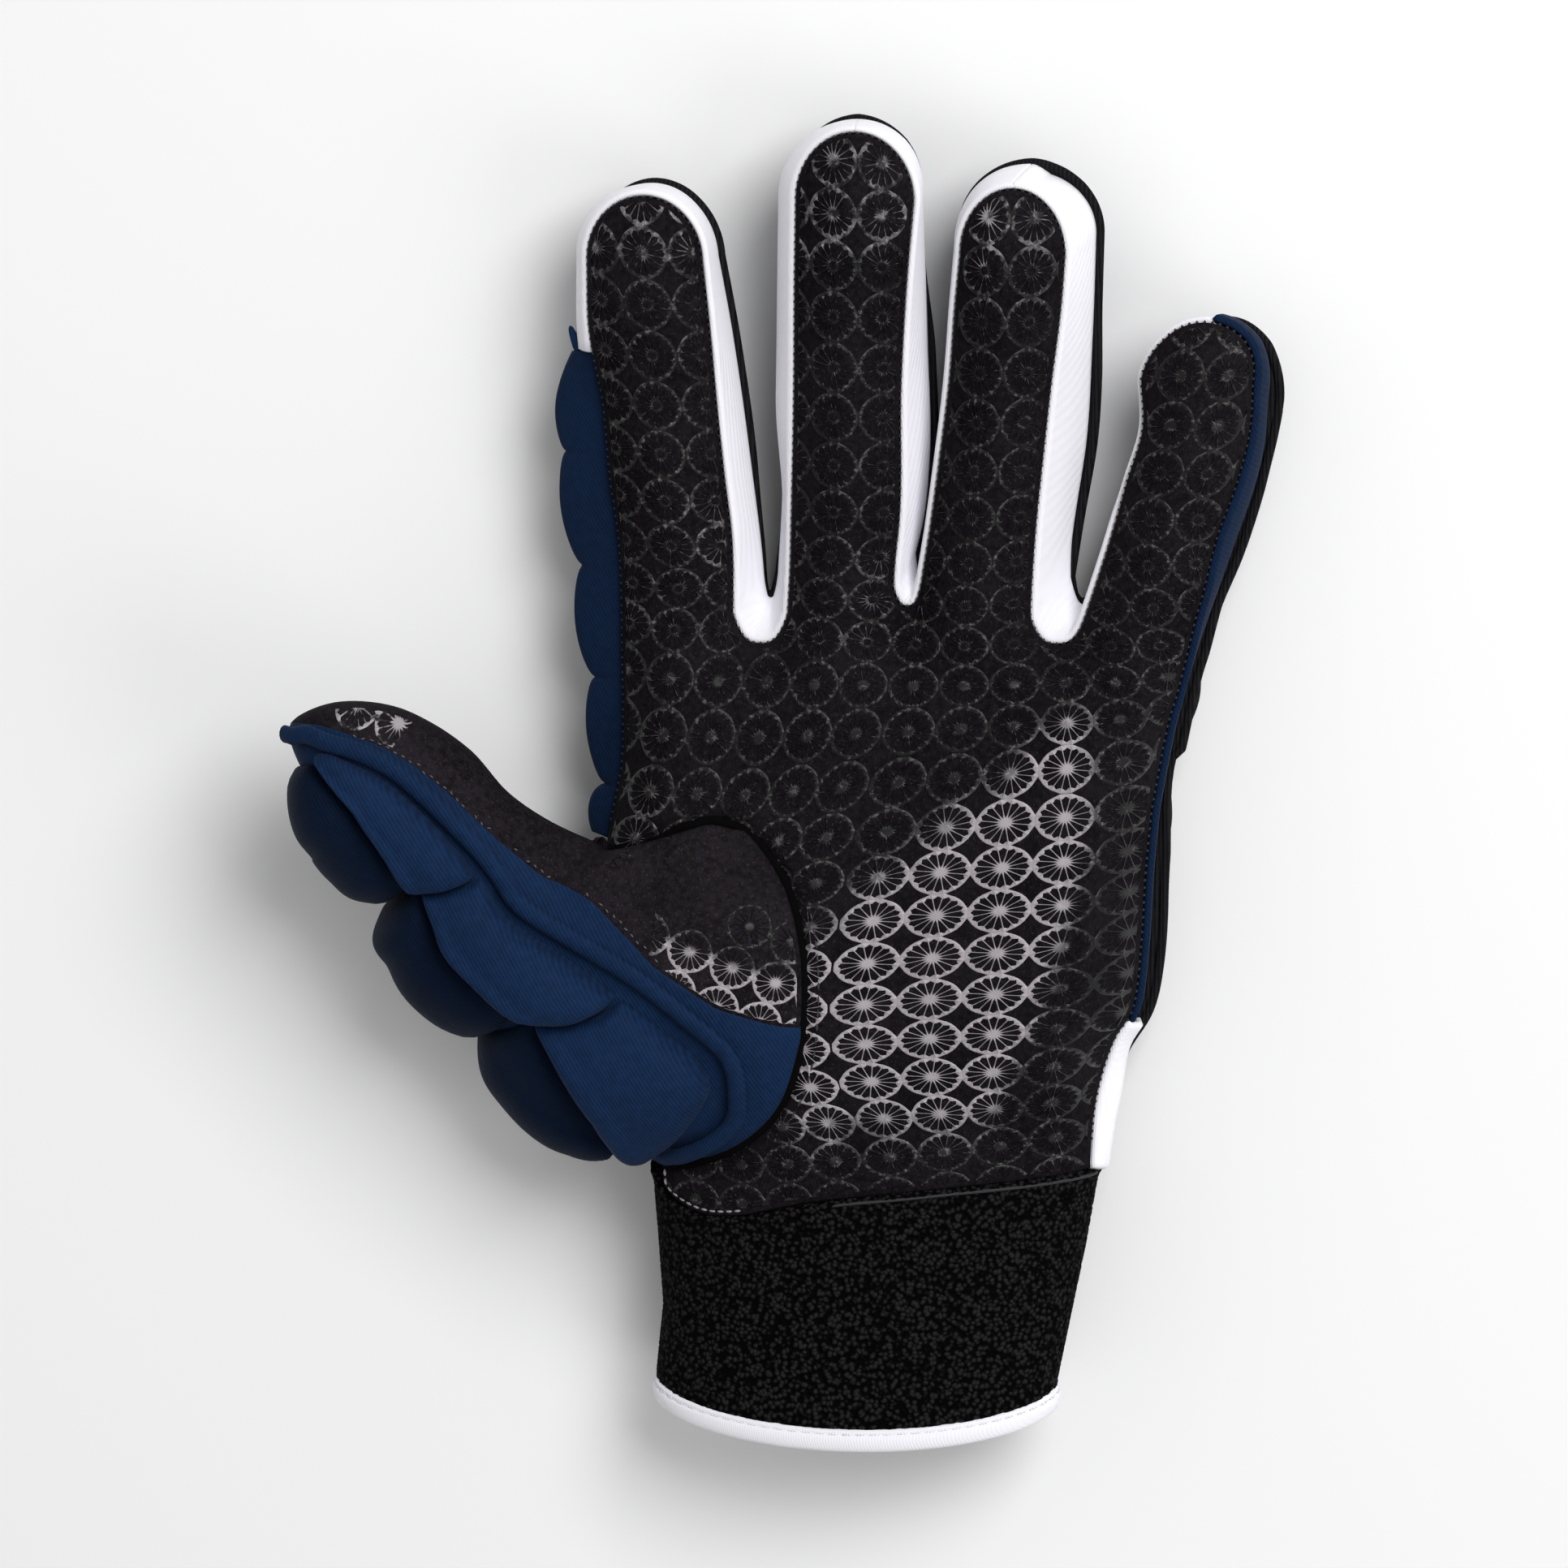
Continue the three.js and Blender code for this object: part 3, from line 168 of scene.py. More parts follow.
# Crotches between the fingers: start of the left side, start of the right side, bottom
CROTCHES = [
    {"palm": (30, 30, 24.8), "back": (36, 36, 32)},
    {"palm": (35, 36, 31.6), "back": (40, 40, 37)},
    {"palm": (30, 30, 25.4), "back": (36, 36, 31.5)},
]
LEFT_EDGE = {
    "palm": [(-28, 29), (-27.8, 8), (-28.6, 0), (-31, -11)],
    "back": [(-31.6, 29), (-30.5, 8), (-30, -11)],
}
RIGHT_EDGE = {
    "palm": [(70.4, 29), (68, 18.5), (65.9, 10.8), (63.4, -3)],
    "back": [(74, 29), (70.5, 20), (67.5, 6), (65.6, -4)],
}
RIGHT_EDGE_LOW = {
    "palm": [(63.4, -3), (62.4, -14), (61.7, -27), (60.4, -38), (57, -44), (54.2, -54), (53.2, -65.6)],
    "back": [(65.6, -4), (64.6, -16), (64, -28), (62.4, -39), (58, -47), (55, -56), (52.6, -66)],
}
LEFT_EDGE_LOW_BACK = [(-30, -11), (-29, -28), (-27, -46), (-24.6, -58), (-21.6, -66)]
SEAM_UPPER = [(-31, -11), (-26.4, -11.8), (-22.2, -9), (-17, -6), (-10, -4.4), (-3.6, -7.6)]
SEAM_LOWER = [
    (-3.6, -7.6), (1.6, -15), (4.2, -25), (4.6, -36), (3.2, -47), (-1, -56), (-7.6, -62),
    (-15, -65.4), (-21, -67),
]
PALM_HEM = [
    (-21, -67), (-20, -70.6), (-14, -73.4), (-7, -73.2), (2, -71), (12, -69.2), (31, -67.2),
    (53.2, -65.6),
]

# Places along a panel's edge, counted from the thumb's web round the fingers to the cuff, and
# where the side walls between the panels begin and end
STRAIGHT_PLACES = 5
CAP_PLACES = 3
ACROSS_PLACES = 4
CROTCH_PLACES = 3
UPPER_PLACES = 4
LOWER_PLACES = 6
FINGER_SIDE = STRAIGHT_PLACES + CAP_PLACES
FINGER_STEP = 2 * FINGER_SIDE + ACROSS_PLACES + CROTCH_PLACES
LITTLE_BASE = UPPER_PLACES + 3 * FINGER_STEP + 2 * FINGER_SIDE + ACROSS_PLACES
SIDE_PAD_END = UPPER_PLACES + 3.72
LITTLE_STRIP_END = LITTLE_BASE + UPPER_PLACES + 3.5
GUSSET_END = LITTLE_BASE + UPPER_PLACES + LOWER_PLACES
LITTLE_STRIP_SHIFT = 0.5
SEAM_ALLOWANCE = 0.05

# Thumb: shares of its length with the middle at each; shares with half widths and half heights;
# columns round it, with black cloth first, navy next and the underside last
THUMB_TIP = (-83.5, 12.5, 36)
THUMB_MIDDLES = [
    (0.05, -79.5, 11, 36), (0.11, -74.8, 8.4, 35.5), (0.22, -66.8, 3.8, 34), (0.41, -55.2, -8, 31),
    (0.59, -46.2, -20.2, 28.5),
]
THUMB_BODY = ([0.22, 0.41, 0.59], [11.2, 12.8, 14.2], [11.4, 12.0, 12.6])
THUMB_RINGS = [0, 0.003, 0.009, 0.02, 0.035, 0.05, 0.08, 0.11, 0.16, 0.22, 0.3, 0.41, 0.5, 0.59]
THUMB_ROOT_ROWS = 5
THUMB_ROOT = {"outside": 0.5, "below_palm": 0.7, "left_of_back": 1.4, "above_back": 0.7}
THUMB_ROOT_BULGE = {"dorsal": 5, "up": 3}
THUMB_WEB = ([0, 0.3, 0.41, 0.5, 0.59], [0, 0, -1.2, 0.6, 4.3])
BORDER_ON_SEAM = 9.7
BORDER_DRIFT = ([0, 0.3, 0.5, 0.6, 0.7, 0.78, 0.88, 1], [0, -0.3, -1.1, -1.7, -0.4, 0.45, 0.85, 0])
BLACK_COLUMNS = 10
NAVY_COLUMNS = 9
UNDER_COLUMNS = 9
UNDER_BLACK_COLUMNS = 4
THUMB_COLUMNS = BLACK_COLUMNS + NAVY_COLUMNS + UNDER_COLUMNS
THUMB_TURNS = ([0, BLACK_COLUMNS, BLACK_COLUMNS + NAVY_COLUMNS, THUMB_COLUMNS], [0, 62, 170, 360])
# Shares of the thumb's length with angles round it, from the palm's side to the back
THUMB_GROOVE = ([0.1, 0.5, 0.7, 0.9], [86, 86, 90, 99])
THUMB_RIDGE = ([0.1, 0.25, 0.42, 0.7, 0.85, 0.95], [105, 118, 126, 127, 144, 163])
THUMB_FLANGE = [
    (0.014, 118), (0.03, 96), (0.06, 84), (0.12, 77), (0.3, 74), (0.5, 75), (0.7, 77), (0.84, 82),
    (0.92, 92), (0.96, 110), (0.975, 134), (0.972, 160),
]
# Foam pads of the thumb: shares where they meet on both sides, height along each, height across
THUMB_PAD_COLUMNS = (
    {
        "name": "inner", "near": (0.1, 0.487, 0.765, 0.92), "far": (0.07, 0.42, 0.7, 0.962), "bow": 0.12,
        "heights": (
            ([0, 0.2, 0.45, 0.7, 0.9, 1], [2.5, 4.6, 6.0, 6.6, 6.6, 5.6]),
            ([0, 0.2, 0.45, 0.7, 0.9, 1], [3.2, 5.2, 7.0, 7.6, 7.6, 6.2]),
            ([0, 0.2, 0.45, 0.7, 0.9, 1], [3.4, 5.6, 7.4, 7.6, 6.2, 3.4]),
        ),
        "profile": ([0, 0.12, 0.4, 0.7, 0.92, 1], [0.3, 0.6, 0.88, 0.97, 1, 0.72]),
    },
    {
        "name": "outer", "near": (0.06, 0.42, 0.7, 0.96), "far": (0.055, 0.4, 0.69, 0.95), "bow": 0.35,
        "heights": (
            ([0, 0.1, 0.2, 0.42, 0.65, 0.85, 1], [1.8, 4.6, 6.5, 8.4, 9.0, 8.0, 4.0]),
            ([0, 0.18, 0.43, 0.73, 0.9, 1], [4.0, 9.0, 9.6, 9.2, 6.0, 3.0]),
            ([0, 0.19, 0.37, 0.55, 0.74, 0.93, 1], [1.8, 6.0, 7.2, 7.8, 7.4, 4.8, 1.0]),
        ),
        "profile": ([0, 0.2, 0.5, 0.8, 0.93, 1], [0.35, 0.75, 1, 0.9, 0.66, 0.3]),
    },
)
THUMB_PAD_EDGE = 212
THUMB_PAD_LIFT = 0.3
THUMB_PAD_GAP = 0.0025
THUMB_PAD_STEPS = 40

# Navy side pad of the index finger and its tab, then the foam pads of the fingers and the hand
SIDE_PAD = {
    "reach": ([-11, 9, 32, 52, 68, 76, 80], [4.6, 6.1, 7.7, 8.2, 7.2, 4.2, 2.0]),
    "ribs": (-11, -1, 18, 37.7, 57.5, 77), "grooves": (0.5, 0.42, 0.6, 0.68, 0.74, 0.7),
}
SIDE_TAB = [(-34, 72.8, 16.4), (-35.4, 74.8, 17), (-36.2, 76.6, 17.2), (-37.2, 79.2, 17)]
SIDE_PAD_START = 0.15
PAD_WALL = 1.2
THUMB_PAD_WALL = 0.6
BACK_PAD_STEPS = 28
BACK_PAD_CORNER = 0.28
BACK_PAD_EDGE = 2.6
BACK_PAD_SINK = 0.25
FINGER_PAD_GAP = 0.8
FINGER_PAD_MARGIN = 1.3
HAND_PAD_GAP = 0.02
# How far the piping of the back stands out beside the wrist, by y
WRIST_PIPING = (
    [-44, -36, -30, -22, -12, -5, 0, 3, 5.2, 5.9], [0, 0.2, 0.35, 0.3, 0.1, -0.5, -1.2, -1.4, -1.3, 0],
)
HAND_PAD_ROWS = ((22, 6), (5.2, -18.6), (-19.4, -43))
HAND_PAD_COLUMNS = 4
HAND_PAD_SIDES = [
    (22, -29, 72.4), (14, -29, 71.4), (6, -28.6, 68.4), (5.2, -28.6, 68), (-8, -28.6, 66.8),
    (-18.6, -28.2, 65), (-19.4, -28.2, 65), (-30, -27.4, 65.4), (-43, -26, 60.5),
]

# Grip print: y of its rows, then by y the x of its first column and the spread of the columns; the
# shift and lean of each finger's print; where it is worn away; how far it reaches past a finger
PRINT_ROWS = ([-17, -13, -9, -7, -5, -3, 0, 12], [-87.6, -60.2, -32.9, -18.6, -3.7, 12.8, 33.1, 135.3])
PRINT_ANCHOR = ([-62, -48, -34, -20, -5, 12, 33], [38.5, 37.2, 37.5, 38.1, 38.9, 40.3, 39.7])
PRINT_SPREAD = ([-62, -54, -47, -34, -20, -5, 12, 33], [9.4, 9.5, 10.4, 11.2, 10.9, 10.3, 9.1, 8.05])
PRINT_FAR_COLUMN = -3
PRINT_FAR_SPREAD = 8.3
PRINT_TOP = 33.1
PRINT_WANDER = ((-1.0, -0.083), (1.8, 0.0), (0.3, 0.05), (-3.6, 0.2))
PRINT_FINGER_STEP = 8.45
PRINT_WORN = {"low": 22, "high": 92, "right": 55, "right_high": 62}
PRINT_REACH = 4
PRINT_MARGIN = {"palm": 0.7, "thumb": 0.6}
# Wheels of the thumb: turn of their rows, half steps, the first middle, where they are worn away and
# where they end; then shares of the thumb with the shift of the wheels there
THUMB_PRINT = {
    "degrees": -22, "right": 3.9, "up": 3.7, "first": (-7.2, -28.4), "worn": (-26, -20.5), "end": -76,
}
THUMB_PRINT_SPANS = ((0.76, 1.0, (0, 0)), (0.03, 0.2, (2.4, 1.8)))
PRINT_SINK = 0.06


# Numbers and curves

def mix(a, b, share):
    return a + (b - a) * share


def smooth(value, low, high):
    t = np.clip((np.asarray(value, float) - low) / (high - low), 0, 1)
    return t * t * (3 - 2 * t)


def unit(vectors):
    return vectors / np.maximum(np.linalg.norm(vectors, axis=-1, keepdims=True), 1e-9)


def quarter_turn(plan):
    """Plan vectors turned a quarter to the left."""
    return np.stack([-plan[..., 1], plan[..., 0]], -1)


def spline(nodes, values, at):
    """Smooth curve through values at uneven nodes, read at any places."""
    nodes = np.asarray(nodes, float)
    values = np.asarray(values, float)
    at = np.clip(np.asarray(at, float), nodes[0], nodes[-1])
    steps = np.diff(nodes)
    shape = (-1,) + (1,) * (values.ndim - 1)
    slopes = np.diff(values, axis=0) / steps.reshape(shape)
    weights = (steps[1:] / (steps[1:] + steps[:-1])).reshape(shape)
    inner = slopes[:-1] * weights + slopes[1:] * (1 - weights)
    slopes = np.concatenate([slopes[:1], inner, slopes[-1:]])
    i = np.clip(np.searchsorted(nodes, at, side="right") - 1, 0, len(nodes) - 2)
    width = steps[i]
    t = (at - nodes[i]) / width
    extra = (1,) * (values.ndim - 1)
    t = t.reshape(t.shape + extra)
    width = width.reshape(width.shape + extra)
    a, b = values[i], values[i + 1]
    da, db = slopes[i] * width, slopes[i + 1] * width
    rest = 3 * (b - a) - 2 * da - db
    bend = 2 * (a - b) + da + db
    return a + t * (da + t * (rest + t * bend))


def between(at, nodes, points):
    """Points at places between a path's nodes."""
    return np.stack([np.interp(at, nodes, column) for column in points.T], -1)


def reach_of(path):
    """Length along a path up to each of its points."""
    return np.concatenate([[0], np.cumsum(np.linalg.norm(np.diff(path, axis=0), axis=1))])


def path_at(points, shares):
    """Points at shares of the length of a smooth curve through the given points."""
    dense = spline(np.arange(len(points)), points, np.linspace(0, len(points) - 1, 30 * len(points)))
    reach = reach_of(dense)
    return between(np.asarray(shares, float) * reach[-1], reach, dense)


def evenly(path, pitch):
    """Points, directions along the path and shares at an even pitch."""
    reach = reach_of(path)
    at = np.arange(pitch / 2, reach[-1], pitch)
    along = between(at + 0.2, reach, path) - between(at - 0.2, reach, path)
    return between(at, reach, path), unit(along), at / reach[-1]


def side_at(rows, column, y):
    """One column of a table of heights and sides, smooth between its rows."""
    rows = sorted(rows)
    return spline([row[0] for row in rows], [row[column] for row in rows], y)


def sample_grid(grid, rows, columns, row_at, column_at):
    """Values of an even grid at fractional rows and columns."""
    r = (row_at - rows[0]) / (rows[1] - rows[0])
    c = (column_at - columns[0]) / (columns[1] - columns[0])
    r0 = np.clip(np.floor(r).astype(int), 0, len(rows) - 2)
    c0 = np.clip(np.floor(c).astype(int), 0, len(columns) - 2)
    fr, fc = (r - r0)[..., None], (c - c0)[..., None]
    top = mix(grid[r0, c0], grid[r0, c0 + 1], fc)
    low = mix(grid[r0 + 1, c0], grid[r0 + 1, c0 + 1], fc)
    return mix(top, low, fr)


# Panels in plan

def finger_point(finger, side, left_y, right_y, row, across):
    shape = finger[side]
    row, across = np.broadcast_arrays(np.asarray(row, float), np.asarray(across, float))
    straight = np.clip(row / STRAIGHT_PLACES, 0, 1)
    y_left = mix(left_y, shape["cap"], straight)
    y_right = mix(right_y, shape["cap"], straight)
    left = side_at(shape["edges"], 1, y_left)
    right = side_at(shape["edges"], 2, y_right)
    x = mix(left, right, across)
    y = mix(y_left, y_right, across)
    up = np.clip((row - STRAIGHT_PLACES) / CAP_PLACES, 0, 1)
    sideways = 2 * across - 1
    middle = (left + right) / 2
    tip_x, tip_y = shape["tip"]
    cap_x = middle + (tip_x - middle) * up + (right - left) / 2 * sideways * np.sqrt(1 - up ** 2 / 2)
    cap_y = shape["cap"] + (tip_y - shape["cap"]) * up * np.sqrt(1 - sideways ** 2 / 2)
    rounded = row > STRAIGHT_PLACES
    return np.stack([np.where(rounded, cap_x, x), np.where(rounded, cap_y, y)], -1)


def finger_base(index, side):
    left = OUTER_BASE_Y if index == 0 else CROTCHES[index - 1][side][1]
    right = OUTER_BASE_Y if index == len(FINGERS) - 1 else CROTCHES[index][side][0]
    return left, right


def crotch_points(index, side, shares):
    left_y, right_y, bottom_y = CROTCHES[index][side]
    left = side_at(FINGERS[index][side]["edges"], 2, left_y)
    right = side_at(FINGERS[index + 1][side]["edges"], 1, right_y)
    rim = mix(left_y, right_y, shares)
    depth = (rim - bottom_y) * (1 - np.abs(2 * shares - 1) ** 3)
    return np.stack([mix(left, right, shares), rim - depth], -1)


def coons(top, bottom, left, right):
    """Patch of points between four edges."""
    u = np.linspace(0, 1, len(top))[None, :, None]
    v = np.linspace(0, 1, len(left))[:, None, None]
    ruled = mix(top[None], bottom[None], v)
    sides = mix(left[:, None], right[:, None], u)
    corners = mix(mix(top[0], bottom[0], v), mix(top[-1], bottom[-1], v), u)
    return ruled + sides - corners


class Panel:
    """Plan of the palm panel or the back panel: its patches and its outer edge."""

    COLUMNS = 16
    STRAIGHT = 40
    CAP = 12
    NOTCH = 12
    UPPER = 30
    LOWER = 44

    def __init__(self, side):
        self.patches = []
        rows = np.concatenate([
            np.linspace(0, STRAIGHT_PLACES, self.STRAIGHT + 1),
            np.linspace(STRAIGHT_PLACES, FINGER_SIDE, self.CAP + 1)[1:],
        ])
        across = np.linspace(0, 1, self.COLUMNS + 1)
        notch = np.linspace(0, 1, self.NOTCH + 1)[1:-1]
        top, edge, places = [], [], []
        left_path, right_path = LEFT_EDGE[side], RIGHT_EDGE[side]
        first = finger_point(FINGERS[0], side, *finger_base(0, side), 0, 0)
        left = path_at([first, *left_path[1:]], np.linspace(0, 1, self.UPPER + 1))
        edge.append(left[:0:-1])
        places.append(np.linspace(0, UPPER_PLACES, self.UPPER + 1)[:-1])
        for index, finger in enumerate(FINGERS):
            base = finger_base(index, side)
            patch = finger_point(finger, side, *base, rows[:, None], across[None])
            self.patches.append(patch[::-1])
            start = UPPER_PLACES + index * FINGER_STEP
            edge += [patch[:, 0], patch[-1, 1:], patch[-2::-1, -1]]
            places += [
                start + rows,
                start + FINGER_SIDE + ACROSS_PLACES * across[1:],
                start + FINGER_SIDE + ACROSS_PLACES + (FINGER_SIDE - rows[-2::-1]),
            ]
            top.append(patch[0])
            if index < len(CROTCHES):
                points = crotch_points(index, side, notch)
                edge.append(points)
                places.append(start + FINGER_STEP - CROTCH_PLACES * (1 - notch))
                top.append(points)
        top = np.concatenate(top)
        right = path_at([top[-1], *right_path[1:]], np.linspace(0, 1, self.UPPER + 1))
        seam = self.COLUMNS + self.NOTCH if side == "palm" else 0
        seam_points = path_at(SEAM_UPPER, np.linspace(0, 1, seam + 1)) if seam else left[-1:]
        rest = np.linspace(0, 1, len(top) - seam)[:, None]
        bottom = np.concatenate([seam_points[:-1], mix(seam_points[-1], right[-1], rest)])
        self.patches.append(coons(top, bottom, left, right))
        down = np.linspace(0, 1, self.LOWER + 1)
        low_left = path_at(SEAM_LOWER if seam else LEFT_EDGE_LOW_BACK, down)
        low_right = path_at(RIGHT_EDGE_LOW[side], down)
        hem = PALM_HEM if seam else [low_left[-1], low_right[-1]]
        low_bottom = path_at(hem, np.linspace(0, 1, len(top) - seam))
        self.patches.append(coons(bottom[seam:], low_bottom, low_left, low_right))
        edge += [right[1:], low_right[1:]]
        places += [
            LITTLE_BASE + UPPER_PLACES * np.linspace(0, 1, self.UPPER + 1)[1:],
            LITTLE_BASE + UPPER_PLACES + LOWER_PLACES * down[1:],
        ]
        self.edge = np.concatenate(edge)
        self.places = np.concatenate(places)
        self.outline = np.concatenate([self.edge, low_bottom[::-1], low_left[::-1], seam_points[::-1]])

    def distance(self, points):
        """Distance in plan from the outer edge."""
        return distance_to(self.edge, points)

    def at(self, place):
        return between(place, self.places, self.edge)

    def outward(self, place):
        return quarter_turn(unit(self.at(place + 0.3) - self.at(place - 0.3)))


def distance_to(line, points):
    """Distance in plan from points to a line, worked out a chunk of points at a time."""
    chunk = 4000
    flat = points.reshape(-1, 2)
    start, step = line[:-1], np.diff(line, axis=0)
    length = np.maximum((step ** 2).sum(1), 1e-9)
    best = np.empty(len(flat))
    for low in range(0, len(flat), chunk):
        part = flat[low:low + chunk, None] - start
        share = np.clip((part * step).sum(-1) / length, 0, 1)
        gap = part - share[..., None] * step
        best[low:low + chunk] = np.sqrt((gap ** 2).sum(-1).min(1))
    return best.reshape(points.shape[:-1])


def inside(outline, points):
    """Whether points in plan lie inside a closed outline."""
    x, y = points[:, 0], points[:, 1]
    ax, ay = outline[:, 0], outline[:, 1]
    bx, by = np.roll(ax, -1), np.roll(ay, -1)
    found = np.zeros(len(points), bool)
    for k in range(len(outline)):
        if ay[k] == by[k]:
            continue
        crosses = (ay[k] > y) != (by[k] > y)
        found ^= crosses & (x < (bx[k] - ax[k]) * (y - ay[k]) / (by[k] - ay[k]) + ax[k])
    return found


PANELS = {side: Panel(side) for side in ("palm", "back")}
THUMB_SEAM = np.concatenate([
    path_at(SEAM_UPPER, np.linspace(0, 1, 60)), path_at(SEAM_LOWER, np.linspace(0, 1, 120))[1:],
])


# Heights over the plan

def curl(y):
    return CURL["lift"] * (np.maximum(0, y - CURL["start"]) / CURL["length"]) ** 2


def mound(form, x, y):
    across = (x - form["x"]) / form["spread_x"]
    along = (y - form["y"]) / form["spread_y"]
    return form["height"] * np.exp(-(across ** 2 + along ** 2) / 2)


def wrist_height(x, direction):
    _, middle, z, half_width, half_height = CUFF_SECTIONS[0]
    across = np.clip((x - middle) / half_width, -0.98, 0.98)
    return z + direction * half_height * np.sqrt(1 - across ** 2)


def palm_height(points):
    x, y = points[..., 0], points[..., 1]
    puff = 1 - (1 - np.minimum(PANELS["palm"].distance(points) / PALM["puff_width"], 1)) ** 2
    hand = 1 - smooth(y, *PALM_HAND_BLEND)
    crown = mix(PALM["finger_crown"], PALM["hand_crown"], hand)
    free = PALM["edge"] + curl(y) + puff * (crown + mound(THENAR, x, y) + mound(HYPOTHENAR, x, y))
    return mix(wrist_height(x, 1), free, smooth(y, *WRIST_BLEND))


def palm_surface(points):
    """Palm height with the groove that the thumb seam pulls into it."""
    near = np.exp(-(distance_to(THUMB_SEAM, points) / SEAM_GROOVE["width"]) ** 2)
    return palm_height(points) - SEAM_GROOVE["depth"] * near


def back_height(points):
    x, y = points[..., 0], points[..., 1]
    fall = 1 - np.minimum(PANELS["back"].distance(points) / BACK["rise_width"], 1)
    hand = 1 - smooth(y, *BACK_HAND_BLEND)
    free = mix(BACK["finger"], BACK["hand"], hand) + curl(y) + BACK["rise"] * fall ** 2
    return mix(wrist_height(x, -1), free, smooth(y, *WRIST_BLEND))


def lifted(points, height):
    return np.concatenate([points, height[..., None]], -1)


# Meshes

def grid_quads(grid, wraps=False):
    """Corner points of the quads of a grid of points."""
    if wraps:
        grid = np.concatenate([grid, grid[:, :1]], 1)
    a, b, c, d = grid[:-1, :-1], grid[:-1, 1:], grid[1:, 1:], grid[1:, :-1]
    return np.stack([a, b, c, d], 2).reshape(-1, 4, grid.shape[-1])


def weld(quads):
    """Shared vertices and faces of loose quads, matched by their first three columns."""
    flat = quads.reshape(-1, quads.shape[-1])
    keys = np.round(flat[:, :3] * WELDS_PER_MM).astype(np.int64)
    _, first, where = np.unique(keys, axis=0, return_index=True, return_inverse=True)
    return flat[first], where.reshape(-1, 4)


def vertex_normals(points, faces):
    a, b, c, d = (points[faces[:, k]] for k in range(4))
    normal = np.cross(c - a, d - b)
    total = np.zeros_like(points)
    for k in range(4):
        np.add.at(total, faces[:, k], normal)
    return unit(total)


def rim_edges(faces):
    """Edges that only one face uses, in that face's direction."""
    edges = np.concatenate([faces[:, [k, (k + 1) % 4]] for k in range(4)])
    edges = edges[edges[:, 0] != edges[:, 1]].tolist()
    held = set(map(tuple, edges))
    return np.array([edge for edge in edges if (edge[1], edge[0]) not in held])


def shell(quads, wall):
    """Closed cloth wall with a rounded rim, from quads of its outer face.

    Quads with six columns hold the inner face too. Otherwise it lies a wall's thickness below.
    """
    corners, faces = weld(quads)
    points = corners[:, :3]
    normals = vertex_normals(points, faces)
    below = corners[:, 3:] if corners.shape[1] > 3 else points - normals * wall
    rim = rim_edges(faces)
    ids, where = np.unique(rim, return_inverse=True)
    where = where.reshape(-1, 2)
    outward = np.zeros((len(ids), 3))
    along = unit(points[rim[:, 1]] - points[rim[:, 0]])
    for k in range(2):
        np.add.at(outward, where[:, k], np.cross(along, normals[rim[:, k]]))
    thick = np.linalg.norm(points[ids] - below[ids], axis=1, keepdims=True)
    bead = (points[ids] + below[ids]) / 2 + unit(outward) * np.minimum(thick, wall) * RIM_ROUNDNESS
    count = len(points)
    bead_ids = 2 * count + where
    upper = np.stack([rim[:, 1], rim[:, 0], bead_ids[:, 0], bead_ids[:, 1]], 1)
    lower = np.stack([bead_ids[:, 1], bead_ids[:, 0], rim[:, 0] + count, rim[:, 1] + count], 1)
    faces = np.concatenate([faces, faces[:, ::-1] + count, upper, lower])
    return np.concatenate([points, below, bead]), faces


def cloth(grid, wall):
    """Closed wall under a grid of points, turned so that its outer face looks out."""
    return shell(grid_quads(grid)[:, ::-1], wall)


def make_piece(name, shape, finish, replaces=None):
    """Object from points in millimetres and faces, which rides on the glove's one body."""
    points, faces = shape
    kept = []
    for face in faces:
        corners = list(map(int, face))
        corners = [v for k, v in enumerate(corners) if v != corners[k - 1]]
        if len(corners) > 2:
            kept.append(corners)
    mesh = bpy.data.meshes.new(name)
    mesh.from_pydata(((points + CENTRE_SHIFT) * MM).tolist(), [], kept)
    mesh.validate()
    mesh.polygons.foreach_set("use_smooth", [True] * len(mesh.polygons))
    mesh.materials.append(finish_of(finish))
    piece = bpy.data.objects.new(name, mesh)
    bpy.context.scene.collection.objects.link(piece)
    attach(piece, "root")
    if replaces:
        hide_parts(replaces)


def tube_faces(rings, sides):
    """Faces of a closed tube of rings of points."""
    faces = []
    for r in range(rings - 1):
        for s in range(sides):
            t = (s + 1) % sides
            faces.append((r * sides + s, r * sides + t, (r + 1) * sides + t, (r + 1) * sides + s))
    last = (rings - 1) * sides
    return faces + [tuple(range(sides - 1, -1, -1)), tuple(range(last, last + sides))]


def beads(centres, along, up, length, width, height):
    """Small rounded stitches: points and faces for one at each centre."""
    rings, sides = 5, 6
    turn = np.linspace(0, 2 * np.pi, sides, endpoint=False)[None, :, None, None]
    lean = np.linspace(-1, 1, rings)[:, None, None, None]
    size = np.sqrt(np.clip(1 - lean ** 2, 0.04, 1))
    across = np.cross(up, along)
    ring = lean * along * length / 2 + size * (
        np.cos(turn) * across * width / 2 + np.sin(turn) * up * height
    )
    points = (ring + centres).transpose(2, 0, 1, 3).reshape(-1, 3)
    steps = np.arange(len(centres)) * rings * sides
    return points, [tuple(v + step for v in face) for step in steps for face in tube_faces(rings, sides)]


def sweep(path, side, up, profile, taper=6):
    """Closed strip: a profile (side and up, in millimetres) carried along a path."""
    ends = np.minimum(np.arange(len(path)), np.arange(len(path))[::-1]) / taper
    size = (np.sqrt(1 - (1 - np.clip(ends, 0, 1)) ** 2) * 0.9 + 0.1)[:, None, None]
    ring = profile[None, :, :1] * side[:, None] + profile[None, :, 1:] * up[:, None]
    return (path[:, None] + size * ring).reshape(-1, 3), tube_faces(len(path), len(profile))


